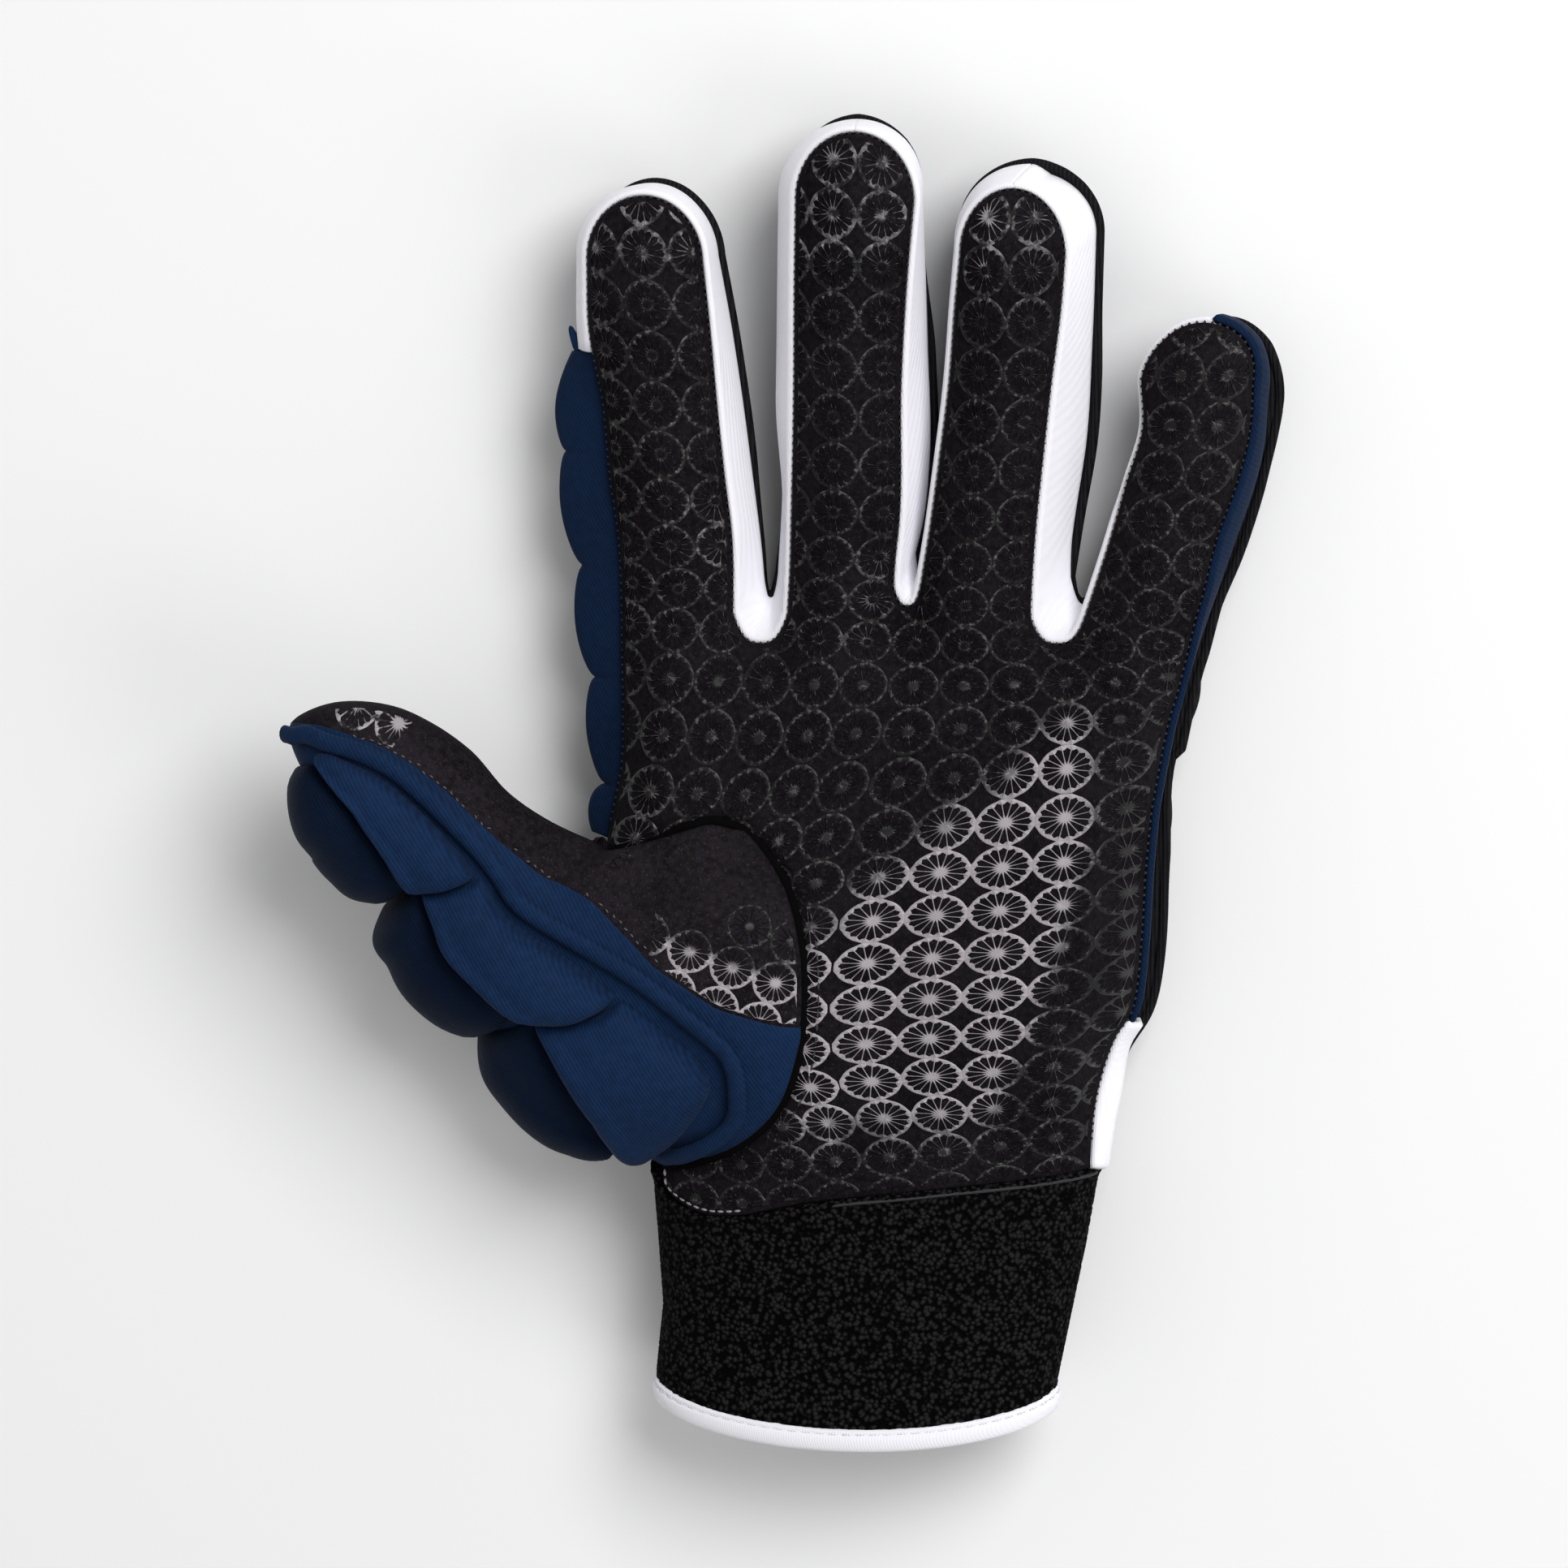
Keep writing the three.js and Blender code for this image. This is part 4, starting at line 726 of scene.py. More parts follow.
def strip(path, profile, taper=6):
    """Closed strip along a path, with its profile kept upright."""
    along = unit(np.gradient(path, axis=0))
    side = unit(np.cross(along, UP))
    return sweep(path, side, np.cross(side, along), profile, taper)


def oval(half_width, half_height, lean=0.0, sides=12):
    """Outline of a flattened round strip."""
    turn = np.linspace(0, 2 * np.pi, sides, endpoint=False)
    x, y = half_width * np.cos(turn), half_height * np.sin(turn)
    return np.stack([x * np.cos(lean) - y * np.sin(lean), x * np.sin(lean) + y * np.cos(lean)], -1)


def piping(path, radius):
    """Round piping along a path."""
    return strip(path, oval(radius, radius, sides=10))


# Finishes

class Wire:
    """A value on its way through a finish's nodes, used in ordinary arithmetic."""

    def __init__(self, finish, socket):
        self.finish = finish
        self.socket = socket

    def _maths(self, operation, *values):
        node = self.finish.node("ShaderNodeMath", {"operation": operation}, dict(enumerate(values)))
        return Wire(self.finish, node.outputs[0])

    def __add__(self, other):
        return self._maths("ADD", self, other)

    __radd__ = __add__

    def __sub__(self, other):
        return self._maths("SUBTRACT", self, other)

    def __rsub__(self, other):
        return self._maths("SUBTRACT", other, self)

    def __mul__(self, other):
        return self._maths("MULTIPLY", self, other)

    __rmul__ = __mul__

    def sine(self):
        return self._maths("SINE", self)

    def between(self, low, high):
        """0 below low, 1 above high, smooth in between."""
        settings = {"interpolation_type": "SMOOTHSTEP"}
        inputs = {"Value": self, "From Min": low, "From Max": high}
        node = self.finish.node("ShaderNodeMapRange", settings, inputs)
        return Wire(self.finish, node.outputs[0])


class Finish:
    """A procedural material built around one Principled shader."""

    def __init__(self, name, specular, **constants):
        self.material = bpy.data.materials.new(name)
        self.material.use_nodes = True
        self.tree = self.material.node_tree
        self.tree.nodes.clear()
        constants["Specular IOR Level"] = specular
        self.shader = self.node("ShaderNodeBsdfPrincipled", {}, constants)
        self.node("ShaderNodeOutputMaterial", {}, {"Surface": self.out(self.shader)})
        self.place = self.out(self.node("ShaderNodeTexCoord"), "Object")

    def node(self, kind, settings=None, inputs=None):
        """A node of this kind, with its settings and then the values or links of its sockets."""
        node = self.tree.nodes.new(kind)
        for key, value in (settings or {}).items():
            setattr(node, key, value)
        for key, value in (inputs or {}).items():
            if isinstance(value, Wire):
                self.tree.links.new(value.socket, node.inputs[key])
            else:
                node.inputs[key].default_value = value
        return node

    def out(self, node, output=0):
        return Wire(self, node.outputs[output])

    def noise(self, scale, detail):
        inputs = {"Vector": self.place, "Scale": scale, "Detail": detail}
        return self.out(self.node("ShaderNodeTexNoise", {}, inputs))

    def cells(self, scale, where=None):
        inputs = {"Vector": where or self.place, "Scale": scale}
        return self.out(self.node("ShaderNodeTexVoronoi", {}, inputs))

    def vector(self, operation, other, output=0):
        """Vector maths on the surface's own position."""
        inputs = {0: self.place, 1: other}
        return self.out(self.node("ShaderNodeVectorMath", {"operation": operation}, inputs), output)

    def threads(self, direction, pitch_mm):
        """Fine parallel threads: 1 on a thread's top and 0 between two threads."""
        angle = self.vector("DOT_PRODUCT", direction, "Value") * (2 * math.pi / (pitch_mm * MM))
        return angle.sine() * 0.5 + 0.5

    def axis(self, name):
        return self.out(self.node("ShaderNodeSeparateXYZ", {}, {0: self.place}), name)

    def link(self, wire, name):
        self.tree.links.new(wire.socket, self.shader.inputs[name])

    def colour(self, share, low, high):
        """Base colour between two, by share."""
        inputs = {0: share, 6: (*low, 1), 7: (*high, 1)}
        self.link(self.out(self.node("ShaderNodeMix", {"data_type": "RGBA"}, inputs), 2), "Base Color")

    def roughness(self, wire):
        self.link(wire, "Roughness")

    def relief(self, height, distance_mm):
        inputs = {"Height": height, "Distance": distance_mm * MM, "Strength": 1.0}
        self.link(self.out(self.node("ShaderNodeBump", {}, inputs)), "Normal")


def scaled(colour, factor):
    return tuple(min(1.0, c * factor) for c in colour)


def palm_cloth_finish(name, colours, lift):
    """Black suede-like palm knit, very slightly purple, with a fine rib."""
    finish = Finish(name, 0.04)
    black = scaled(colours.palm, lift)
    fuzz = finish.noise(900, 3)
    rib = finish.threads((1, 0.25, 0), 0.55)
    fibres = finish.noise(2300, 1).between(0.6, 0.76)
    shade = (fuzz * 0.6 + finish.noise(60, 2) * 0.4).between(0.3, 0.7) * 0.4 + fibres * 0.6
    finish.colour(shade, scaled(black, 0.4), scaled(black, 3.0))
    finish.roughness(fuzz * 0.2 + 0.72)
    finish.relief(fuzz * 0.7 + rib * 0.3, 0.12)
    return finish.material


def grip_print_finish(colours):
    """Dark grey silicone with painted highlights: pale in the heel of the hand, on the thumb's mound, at
    the tips and in loose patches, with fine painted glints.
    """
    finish = Finish("grip_silicone", 0.2)
    grey = tuple(colours.grip)
    x, y = finish.axis("X"), finish.axis("Y")
    # Painted highlight on the heel of the hand, with a wandering edge
    wander = finish.noise(70, 2) * 0.012 - 0.006
    heel_highlight = (x * 0.867 - y + wander).between(0.022, 0.036)
    heel_highlight = heel_highlight * (y + wander).between(-0.066, -0.05) * (0.061 + y * 0.38 - x).between(0.0, 0.007)
    heel_highlight = heel_highlight * (0.0565 - x + wander * 0.5).between(0.0, 0.007)
    heel_highlight = heel_highlight * x.between(-0.002, 0.006)
    # Painted highlight on the thumb's mound
    mound = (x * -0.37 - y).between(0.029, 0.033) * x.between(-0.024, -0.017)
    mound = mound * (0.004 - x).between(0.0, 0.004) * y.between(-0.052, -0.047)
    # Painted highlights on the thumb's tip and on the fingertips
    tip_highlights = (x * -1).between(0.058, 0.064) + y.between(0.089, 0.096) * 0.4
    # Painted highlights in loose patches, broken up by specks, and fine painted glints all over
    patches = finish.noise(42, 1).between(0.52, 0.74)
    specks = finish.noise(420, 3).between(0.4, 0.62)
    painted_glints = finish.noise(1300, 2).between(0.52, 0.68)
    share = (heel_highlight + mound) * (specks * 0.2 + 0.8) + (patches * 0.35 + tip_highlights) * specks + painted_glints * 0.26
    # The painted highlights and glints fade out towards the palm's right edge below the fingers
    highlight_fade = x.between(0.047, 0.056) * (-0.002 - y).between(0.0, 0.02) * 0.85
    # Base colour runs from a fortieth of the grip grey up to the full grey at the painted highlights
    finish.colour((share * (1 - highlight_fade)).between(0.0, 1.0), scaled(grey, 0.025), grey)
    finish.roughness(specks * -0.15 + 0.45)
    return finish.material


def white_finish(colours):
    """White stretch knit with fine ribs along the finger."""
    finish = Finish("white_stretch", 0.2, **{"Sheen Weight": 0.08})
    white = tuple(colours.white)
    rib = finish.threads((1, 0.1, 0.9), 0.5)
    soft = finish.noise(160, 3)
    finish.colour(rib * 0.35 + soft * 0.65, scaled(white, 0.93), white)
    finish.roughness(soft * 0.15 + 0.6)
    finish.relief(rib * 0.5 + soft * 0.5, 0.06)
    return finish.material


def navy_finish(name, colours, depth):
    """Navy twill laid over foam, with diagonal lines and a soft heather."""
    finish = Finish(name, 0.05, **{"Sheen Weight": 0.02, "Sheen Roughness": 0.5})
    # A depth below one makes a darker copy of the navy: painted shade
    navy = scaled(colours.navy, depth)
    twill = finish.threads((0.86, 0.5, 0.15), 0.62)
    heather = finish.noise(700, 3)
    shade = twill * 0.2 + heather * 0.45 + finish.noise(45, 2) * 0.35
    finish.colour(shade.between(0.25, 0.75), scaled(navy, 0.72), scaled(navy, 1.3))
    finish.roughness(heather * 0.2 + 0.62)
    finish.relief(twill * 0.4 + heather * 0.6, 0.1)
    return finish.material


def back_finish(colours):
    """Plain black knit of the back."""
    finish = Finish("black_knit", 0.05)
    black = tuple(colours.back)
    rib = finish.threads((1, 0, 0.4), 0.7)
    fuzz = finish.noise(800, 3)
    finish.colour((rib * 0.5 + fuzz * 0.5).between(0.2, 0.8), scaled(black, 0.6), scaled(black, 1.7))
    finish.roughness(fuzz * 0.15 + 0.72)
    finish.relief(rib * 0.6 + fuzz * 0.4, 0.12)
    return finish.material


def foam_finish(colours):
    """Black moulded foam, faintly pitted."""
    finish = Finish("black_foam", 0.12)
    black = tuple(colours.foam)
    patch = finish.noise(70, 3)
    finish.colour(patch.between(0.3, 0.7), scaled(black, 0.75), scaled(black, 1.5))
    finish.roughness(patch * 0.25 + 0.5)
    finish.relief(finish.cells(1400), 0.1)
    return finish.material


def cuff_finish(colours):
    """Black pebbled elastic: lighter grey on the tops of its pebbles, with painted shade in the crevices
    between them.
    """
    finish = Finish("pebbled_elastic", 0.04)
    black = tuple(colours.cuff)
    bent = finish.vector("ADD", finish.noise(260, 2) * 0.0012)
    pebble = 1 - finish.cells(1080, bent)
    fuzz = finish.noise(1500, 2)
    # Painted shade darkens the crevices between the pebbles; the pebble tops are lighter grey
    finish.colour(pebble.between(0.35, 0.85) * (fuzz * 0.6 + 0.4), scaled(black, 0.06), scaled(black, 4.2))
    finish.roughness(fuzz * 0.2 + 0.7)
    finish.relief(pebble, 0.6)
    return finish.material


def groove_shadow_finish():
    """Matt near-black strip deep in the thumb seam's groove: painted shadow of the groove."""
    finish = Finish("seam_groove_shadow", 0.05, Roughness=0.95)
    finish.colour(finish.noise(900, 2), (0.0012, 0.001, 0.0012), (0.003, 0.0026, 0.003))
    return finish.material


def thread_finish(name, colour):
    """Twisted sewing thread."""
    finish = Finish(name, 0.35, Roughness=0.6)
    twist = finish.threads((0.7, 0.7, 0.3), 0.35)
    finish.colour(twist, scaled(colour, 0.7), scaled(colour, 1.2))
    finish.relief(twist, 0.05)
    return finish.material


def floor_finish(shade):
    """Plain pale floor."""
    finish = Finish("pale_floor", 0.1, Roughness=0.9)
    finish.colour(finish.noise(6, 2), scaled((shade,) * 3, 0.995), (shade,) * 3)
    return finish.material


FINISHES = {}
THREADS = {
    "grey_thread": (0.09, 0.085, 0.09), "dark_thread": (0.035, 0.032, 0.036),
    "glint_pale_thread": (0.3, 0.28, 0.3), "black_thread": (0.02, 0.018, 0.022),
    "white_thread": (0.75, 0.74, 0.8),
}


def finish_of(name):
    """The named finish, made when it is first asked for."""
    colours = bpy.context.scene.glove_colours
    makers = {
        "palm": lambda: palm_cloth_finish("palm_knit", colours, 1),
        "thumb_palm": lambda: palm_cloth_finish("thumb_palm_knit", colours, 1.45),
        "grip": lambda: grip_print_finish(colours),
        "white": lambda: white_finish(colours),
        "navy": lambda: navy_finish("navy_twill", colours, 1),
        # Darker copy of the navy for the side pad and the little finger's strip: painted shade
        "navy_side_shaded": lambda: navy_finish("navy_side_shaded_twill", colours, 0.68),
        # Darker copy of the navy for the outer thumb pads: painted shade
        "shaded_navy": lambda: navy_finish("shaded_navy_twill", colours, 0.38),
        "back": lambda: back_finish(colours),
        "foam": lambda: foam_finish(colours),
        "cuff": lambda: cuff_finish(colours),
        "groove_shadow": groove_shadow_finish,
    }
    if name not in FINISHES:
        FINISHES[name] = thread_finish(name, THREADS[name]) if name in THREADS else makers[name]()
    return FINISHES[name]


# Side walls between the two panels

def side_wall(start, end, per_place, inset, bulge, rows=12, depth=None):
    """Outer face of the cloth between the edges of the two panels, as rows from palm to back.

    With a depth, each point is followed by its place on the inner face.
    """
    count = max(2, int(round((end - start) * per_place)))
    place = np.linspace(start, end, count + 1)
    palm, back = PANELS["palm"], PANELS["back"]
    upper, lower = palm.at(place), back.at(place)
    back_out = back.outward(place)
    lower = lower - back_out * np.broadcast_to(inset(lower), len(place))[:, None]
    out = unit(palm.outward(place) + back_out)
    share = np.linspace(0, 1, rows + 1)[:, None]
    stand = bulge(upper, out) * np.sin(np.pi * share)
    flat = mix(upper, lower, share[..., None])
    height = mix(palm_height(upper) - WALL_BELOW_PALM, back_height(lower) + WALL_ABOVE_BACK, share)
    outer = lifted(flat + out * stand[..., None], height)
    return outer if depth is None else np.concatenate([outer, lifted(flat - out * depth, height)], -1)


def tip_place(finger):
    return UPPER_PLACES + finger * FINGER_STEP + FINGER_SIDE + ACROSS_PLACES / 2


# The thumb

def thumb_angle(column):
    return np.interp(np.mod(column, THUMB_COLUMNS), *THUMB_TURNS)


def thumb_column(angle):
    return np.interp(np.mod(angle, 360), *THUMB_TURNS[::-1])


def thumb_across():
    along = np.gradient(np.array(THUMB_MIDDLES)[:, 1:3], axis=0)
    return unit(lifted(quarter_turn(along), np.zeros(len(along))))


def thumb_root(columns):
    """Open edge of the thumb where it meets the palm, the back and the cuff."""
    seam = np.concatenate([
        path_at(SEAM_UPPER, np.linspace(0, 1, 8)), path_at(SEAM_LOWER, np.linspace(0, 1, 7))[1:],
    ])
    outside = seam - quarter_turn(unit(np.gradient(seam, axis=0))) * THUMB_ROOT["outside"]
    edge = lifted(outside, palm_height(seam) - THUMB_ROOT["below_palm"])
    steps = np.arange(len(edge))
    black = spline(steps, edge, np.linspace(0, BORDER_ON_SEAM, BLACK_COLUMNS + 1))
    navy = spline(steps, edge, np.linspace(BORDER_ON_SEAM, len(edge) - 1, NAVY_COLUMNS + 1)[1:])
    under_at = (np.arange(1, UNDER_COLUMNS) - 0.4) / (UNDER_COLUMNS - 0.4)
    under = path_at(LEFT_EDGE_LOW_BACK[::-1], under_at)
    beside = under - [THUMB_ROOT["left_of_back"], 0]
    below = lifted(beside, back_height(under) + THUMB_ROOT["above_back"])
    ring = np.concatenate([black, navy, below])
    ring = np.concatenate([ring[-3:], ring, ring[:4]])
    return spline(np.arange(-3, THUMB_COLUMNS + 4), ring, np.mod(columns, THUMB_COLUMNS))


def thumb_rings(columns):
    """Shares of the thumb's length and the ring of points at each, for these columns."""
    turn = np.radians(thumb_angle(columns))
    across = thumb_across()
    middles = np.array(THUMB_MIDDLES)
    shares = np.array(THUMB_RINGS)
    body, half, high = THUMB_BODY
    tip_reach = np.sin(np.pi / 2 * np.clip(shares / body[0], 0, 1))
    half = np.interp(shares, body, half) * tip_reach ** 0.66
    high = np.interp(shares, body, high) * tip_reach ** 0.42
    nodes = np.concatenate([[0], middles[:, 0]])
    centres = spline(nodes, np.concatenate([[THUMB_TIP], middles[:, 1:]]), shares)
    sideways = spline(middles[:, 0], across, shares)
    web = np.interp(shares, *THUMB_WEB)[:, None] * np.maximum(0, np.cos(turn)) ** 2
    rings = (
        centres[:, None]
        + (half[:, None] * np.cos(turn) + web)[..., None] * sideways[:, None]
        + high[:, None, None] * np.sin(turn)[None, :, None] * UP
    )
    root = thumb_root(columns)
    rows = np.arange(1, THUMB_ROOT_ROWS + 1) / THUMB_ROOT_ROWS
    extra = []
    for t in rows:
        swell = 4 * t * (1 - t)
        dorsal = THUMB_ROOT_BULGE["dorsal"] * swell * np.maximum(0, -np.cos(turn))
        up = THUMB_ROOT_BULGE["up"] * swell * np.maximum(0, np.sin(turn))
        extra.append(mix(rings[-1], root, t) - across[-1] * dorsal[:, None] + up[:, None] * UP)
    return np.concatenate([shares, mix(shares[-1], 1, rows)]), np.concatenate([rings, extra])


def thumb_point(shares, columns):
    """Grid of points of the thumb's surface: shares down, columns across."""
    nodes, rings = thumb_rings(columns)
    return spline(nodes, rings, shares)


def border_column(shares):
    """Column where the black cloth of the thumb meets the navy."""
    return BLACK_COLUMNS + np.interp(shares, *BORDER_DRIFT)


def thumb_border(shares, inset=0.0):
    """Points along the border of the two cloths, or this many columns inside the black one."""
    return np.array([thumb_point([share], [border_column(share) - inset])[0, 0] for share in shares])


class ThumbSkin:
    """The thumb's surface and its normals, read by share of its length and angle round it."""

    def __init__(self, low, high):
        self.shares = np.linspace(0, 1, 201)
        self.angles = np.linspace(low, high, high - low + 1)
        self.points = thumb_point(self.shares, thumb_column(self.angles))
        along, around = (np.gradient(self.points, axis=k) for k in range(2))
        self.normals = unit(np.cross(around, along))

    def at(self, share, angle):
        place = (self.shares, self.angles, share, angle)
        return sample_grid(self.points, *place), unit(sample_grid(self.normals, *place))


# The grip print

def print_palm_centres(column, row, finger=None):
    """Middle of a printed wheel in plan, by column and row."""
    column, row = np.broadcast_arrays(np.asarray(column, float), np.asarray(row, float))
    y = spline(*PRINT_ROWS, row)
    level = np.minimum(y, PRINT_TOP)
    near = np.maximum(column, PRINT_FAR_COLUMN)
    x = spline(*PRINT_ANCHOR, level) + near * spline(*PRINT_SPREAD, level)
    x = x + (column - near) * PRINT_FAR_SPREAD
    if finger is not None:
        shift, lean = PRINT_WANDER[finger]
        x = x + shift * smooth(y, PRINT_TOP, PRINT_TOP + 12) + lean * np.maximum(0, y - PRINT_TOP)
    tilt = mix(-0.055 * (np.minimum(x, 24) - 18), 0.095 * np.maximum(x - 40, -45), 1 - smooth(y, 4, 30))
    return np.stack([x, y + tilt], -1)


def wheel_pattern():
    """One printed wheel of unit radius: plan points, heights and faces."""
    spokes = 16
    half = np.pi / spokes
    petal = [
        (0.23, 0), (0.36, -0.6), (0.56, -0.8), (0.77, -0.84), (0.88, 0), (0.77, 0.84), (0.56, 0.8),
        (0.36, 0.6),
    ]
    crest = [(0.13, 0), (0.34, -1), (0.6, -1), (0.94, -1), (0.94, 0), (0.94, 1), (0.6, 1), (0.34, 1)]
    rim = [(1.01, -1), (1.01, 0), (1.01, 1)]
    hub = [(0.13, -1), (0.13, 1), (0, 0)]
    polar = np.array(petal + crest + rim + hub, float)
    height = np.array([0.0] * len(petal) + [1.0] * len(crest) + [0.0] * len(rim) + [1.0] * len(hub))
    # Numbers of the first points of the crest, the rim and the hub; a repeated corner makes a triangle
    c, r, h = len(petal), len(petal + crest), len(petal + crest + rim)
    faces = [(c + k, c + (k + 1) % 8, (k + 1) % 8, k) for k in range(8)]
    faces += [(c, h, c + 1, c + 1), (h + 1, c, c + 7, c + 7), (h + 2, h, c, c), (h + 2, c, h + 1, h + 1)]
    faces += [(r, r + 1, c + 4, c + 3), (r + 1, r + 2, c + 5, c + 4)]
    points, every = [], []
    for k in range(spokes):
        turn = 2 * k + polar[:, 1]
        beside = np.abs((turn + 4) % 8 - 4)
        joint = np.where(beside < 0.5, 0.035, np.where(beside < 1.5, 0.045, 0.0))
        reach = polar[:, 0] + np.where(polar[:, 0] > 0.9, joint, 0)
        points.append(np.stack([reach * np.cos(turn * half), reach * np.sin(turn * half)], -1))
        every += [tuple(v + k * len(polar) for v in face) for face in faces]
    return np.concatenate(points), np.tile(height, spokes), np.array(every)


def wheels(centres, right, up, open_hubs=False):
    """Plan points, heights and faces of wheels with these middles and half-step vectors."""
    plan, height, faces = wheel_pattern()
    points = centres[:, None] + plan[None, :, :1] * right[:, None] + plan[None, :, 1:] * up[:, None]
    every = faces[None] + (np.arange(len(centres)) * len(plan))[:, None, None]
    hub = np.hypot(*plan.T) < 0.2
    open_hubs = np.broadcast_to(open_hubs, len(centres))
    heights = np.where(open_hubs[:, None] & hub, 0, height)
    return points.reshape(-1, 2), heights.reshape(-1), every.reshape(-1, 4)


def used_points(faces, count):
    """The points that faces use, and the faces renumbered to them."""
    used = np.unique(faces)
    renumber = np.full(count, -1)
    renumber[used] = np.arange(len(used))
    return used, renumber[faces]


def depth_inside(outline, plan):
    """Distance from a closed outline in plan, negative outside it."""
    closed = np.concatenate([outline, outline[:1]])
    return distance_to(closed, plan) * np.where(inside(outline, plan), 1, -1)


def trimmed(outline, margin, plan, faces):
    """The part of a flat mesh inside an outline, cut cleanly along it."""
    near = depth_inside(outline, plan) - margin
    used, faces = used_points(faces[(near[faces] > 0).any(1)], len(plan))
    over = used[near[used] < 0]
    step = 0.05
    for _ in range(2):
        here = plan[over]
        depth = depth_inside(outline, here)
        slope = np.stack([
            (depth_inside(outline, here + offset) - depth) / step for offset in ([step, 0], [0, step])
        ], -1)
        plan[over] = here + slope * (margin - depth)[:, None]
    return plan[used], used, faces


# Settings shown in the sidebar

def length_setting(name, description, default, low, high):
    return bpy.props.FloatProperty(
        name=name, description=description, default=default, min=low, max=high, unit="LENGTH", precision=5,
    )


def share_setting(name, description, default, low):
    return bpy.props.FloatProperty(
        name=name, description=description, default=default, min=low, max=1.0, subtype="FACTOR",
    )


def angle_setting(name, description, degrees):
    return bpy.props.FloatProperty(
        name=name, description=description, default=math.radians(degrees), subtype="ANGLE",
    )


def colour_setting(name, description, default):
    return bpy.props.FloatVectorProperty(
        name=name, description=description, default=default, min=0.0, max=1.0, size=3, subtype="COLOR",
    )


class GloveSizes(bpy.types.PropertyGroup):
    """Sizes of the sewn and printed details."""

    print_height: length_setting(
        "Print height", "How far the grip print stands off the palm", 0.00024, 0.00005, 0.001)
    palm_wall: length_setting(
        "Palm thickness", "Thickness of the palm cloth with its backing", 0.0014, 0.0005, 0.003)
    stitch_pitch: length_setting(
        "Stitch pitch", "Distance from one edge stitch to the next", 0.0013, 0.001, 0.005)
    pad_softness: share_setting(
        "Pad softness", "How rounded the foam pads are towards their edges", 0.42, 0.2)
    pebble_height: length_setting("Pebble height", "Height of the pebbles on the cuff", 0.00032, 0.0, 0.001)


class GloveColours(bpy.types.PropertyGroup):
    """Colours of the cloths, the foam and the print."""

    palm: colour_setting("Palm", "Black cloth of the palm", (0.008, 0.0065, 0.0084))
    # The grip grey is the print's colour at its painted highlights; elsewhere the print is much darker
    grip: colour_setting("Grip print", "Grey silicone of the grip print", (0.36, 0.33, 0.35))
    white: colour_setting("White", "White stretch cloth between the fingers", (0.88, 0.87, 0.92))
    navy: colour_setting("Navy", "Navy twill of the thumb and the finger pads", (0.0055, 0.0187, 0.056))
    back: colour_setting("Back", "Black knit of the back", (0.0075, 0.0072, 0.0082))
    foam: colour_setting("Foam", "Black foam pads of the back", (0.0085, 0.0085, 0.0105))
    cuff: colour_setting("Cuff", "Black elastic of the cuff", (0.0062, 0.006, 0.0064))


class GloveStage(bpy.types.PropertyGroup):
    """Floor, light and camera."""

    tilt_up: angle_setting("Tilt to the fingers", "How far the camera leans toward the fingertips", 10)
    tilt_right: angle_setting("Tilt to the right", "How far the camera leans toward the little finger", 5)
    distance: length_setting("Camera distance", "Distance from the camera to the glove", 1.8, 0.3, 10.0)
    floor_shade: share_setting("Floor shade", "Brightness of the pale floor", 0.9, 0.0)


# One operator for each piece or group of like pieces

class GLOVE_OT_stage(bpy.types.Operator):
    """Add the floor, the soft lights and the camera"""

    bl_idname = "glove.stage"
    bl_label = "Stage"

    def execute(self, context):
        stage = context.scene.glove_stage
        floor_mesh = bpy.data.meshes.new("floor")
        corners = [(x * FLOOR_REACH, y * FLOOR_REACH, 0) for x, y in ((-1, -1), (1, -1), (1, 1), (-1, 1))]
        floor_mesh.from_pydata(corners, [], [(0, 1, 2, 3)])
        floor_mesh.materials.append(floor_finish(stage.floor_shade))
        floor = bpy.data.objects.new("floor", floor_mesh)
        context.scene.collection.objects.link(floor)
        self.add_camera(context, stage)
        for light in LIGHTS:
            self.add_light(*light)
        world = bpy.data.worlds.new("studio")
        world.use_nodes = True
        background = world.node_tree.nodes["Background"]
        background.inputs["Color"].default_value = (1, 1, 1, 1)
        background.inputs["Strength"].default_value = WORLD_LIGHT
        context.scene.world = world
        context.scene.view_settings.view_transform = "Standard"
        return {"FINISHED"}

    def add_camera(self, context, stage):
        a, b = stage.tilt_right, stage.tilt_up
        back = Vector((math.sin(a), math.cos(a) * math.sin(b), math.cos(a) * math.cos(b)))
        right = Vector((0, 1, 0)).cross(back).normalized()
        up = back.cross(right)
        aim = Vector(((VIEW_MIDDLE + CENTRE_SHIFT) * MM).tolist())
        camera = bpy.data.objects.new("camera", bpy.data.cameras.new("camera"))
        place = Matrix((right, up, back)).transposed().to_4x4()
        place.translation = aim + back * stage.distance
        camera.matrix_world = place
        camera.data.sensor_width = SENSOR_WIDTH
        camera.data.lens = SENSOR_WIDTH * stage.distance / (VIEW_PIXELS * PIXEL_SIZE * MM)
        camera.data.clip_end = CLIP_END
        camera.data.dof.use_dof = False
        context.scene.collection.objects.link(camera)
        context.scene.camera = camera

    def add_light(self, name, place, size, power):
        light = bpy.data.objects.new(name, bpy.data.lights.new(name, "AREA"))
        light.data.size = size
        light.data.energy = power
        light.location = place
        light.rotation_euler = Vector(place).to_track_quat("Z", "Y").to_euler()
        bpy.context.scene.collection.objects.link(light)


class GLOVE_OT_palm(bpy.types.Operator):
    """Add the black palm cloth"""

    bl_idname = "glove.palm"
    bl_label = "Palm"

    def execute(self, context):
        wall = context.scene.glove_sizes.palm_wall / MM
        patches = PANELS["palm"].patches
        quads = np.concatenate([grid_quads(lifted(patch, palm_surface(patch))) for patch in patches])
        make_piece("palm_cloth", shell(quads[:, ::-1], wall), "palm", "palm_panel")
        return {"FINISHED"}


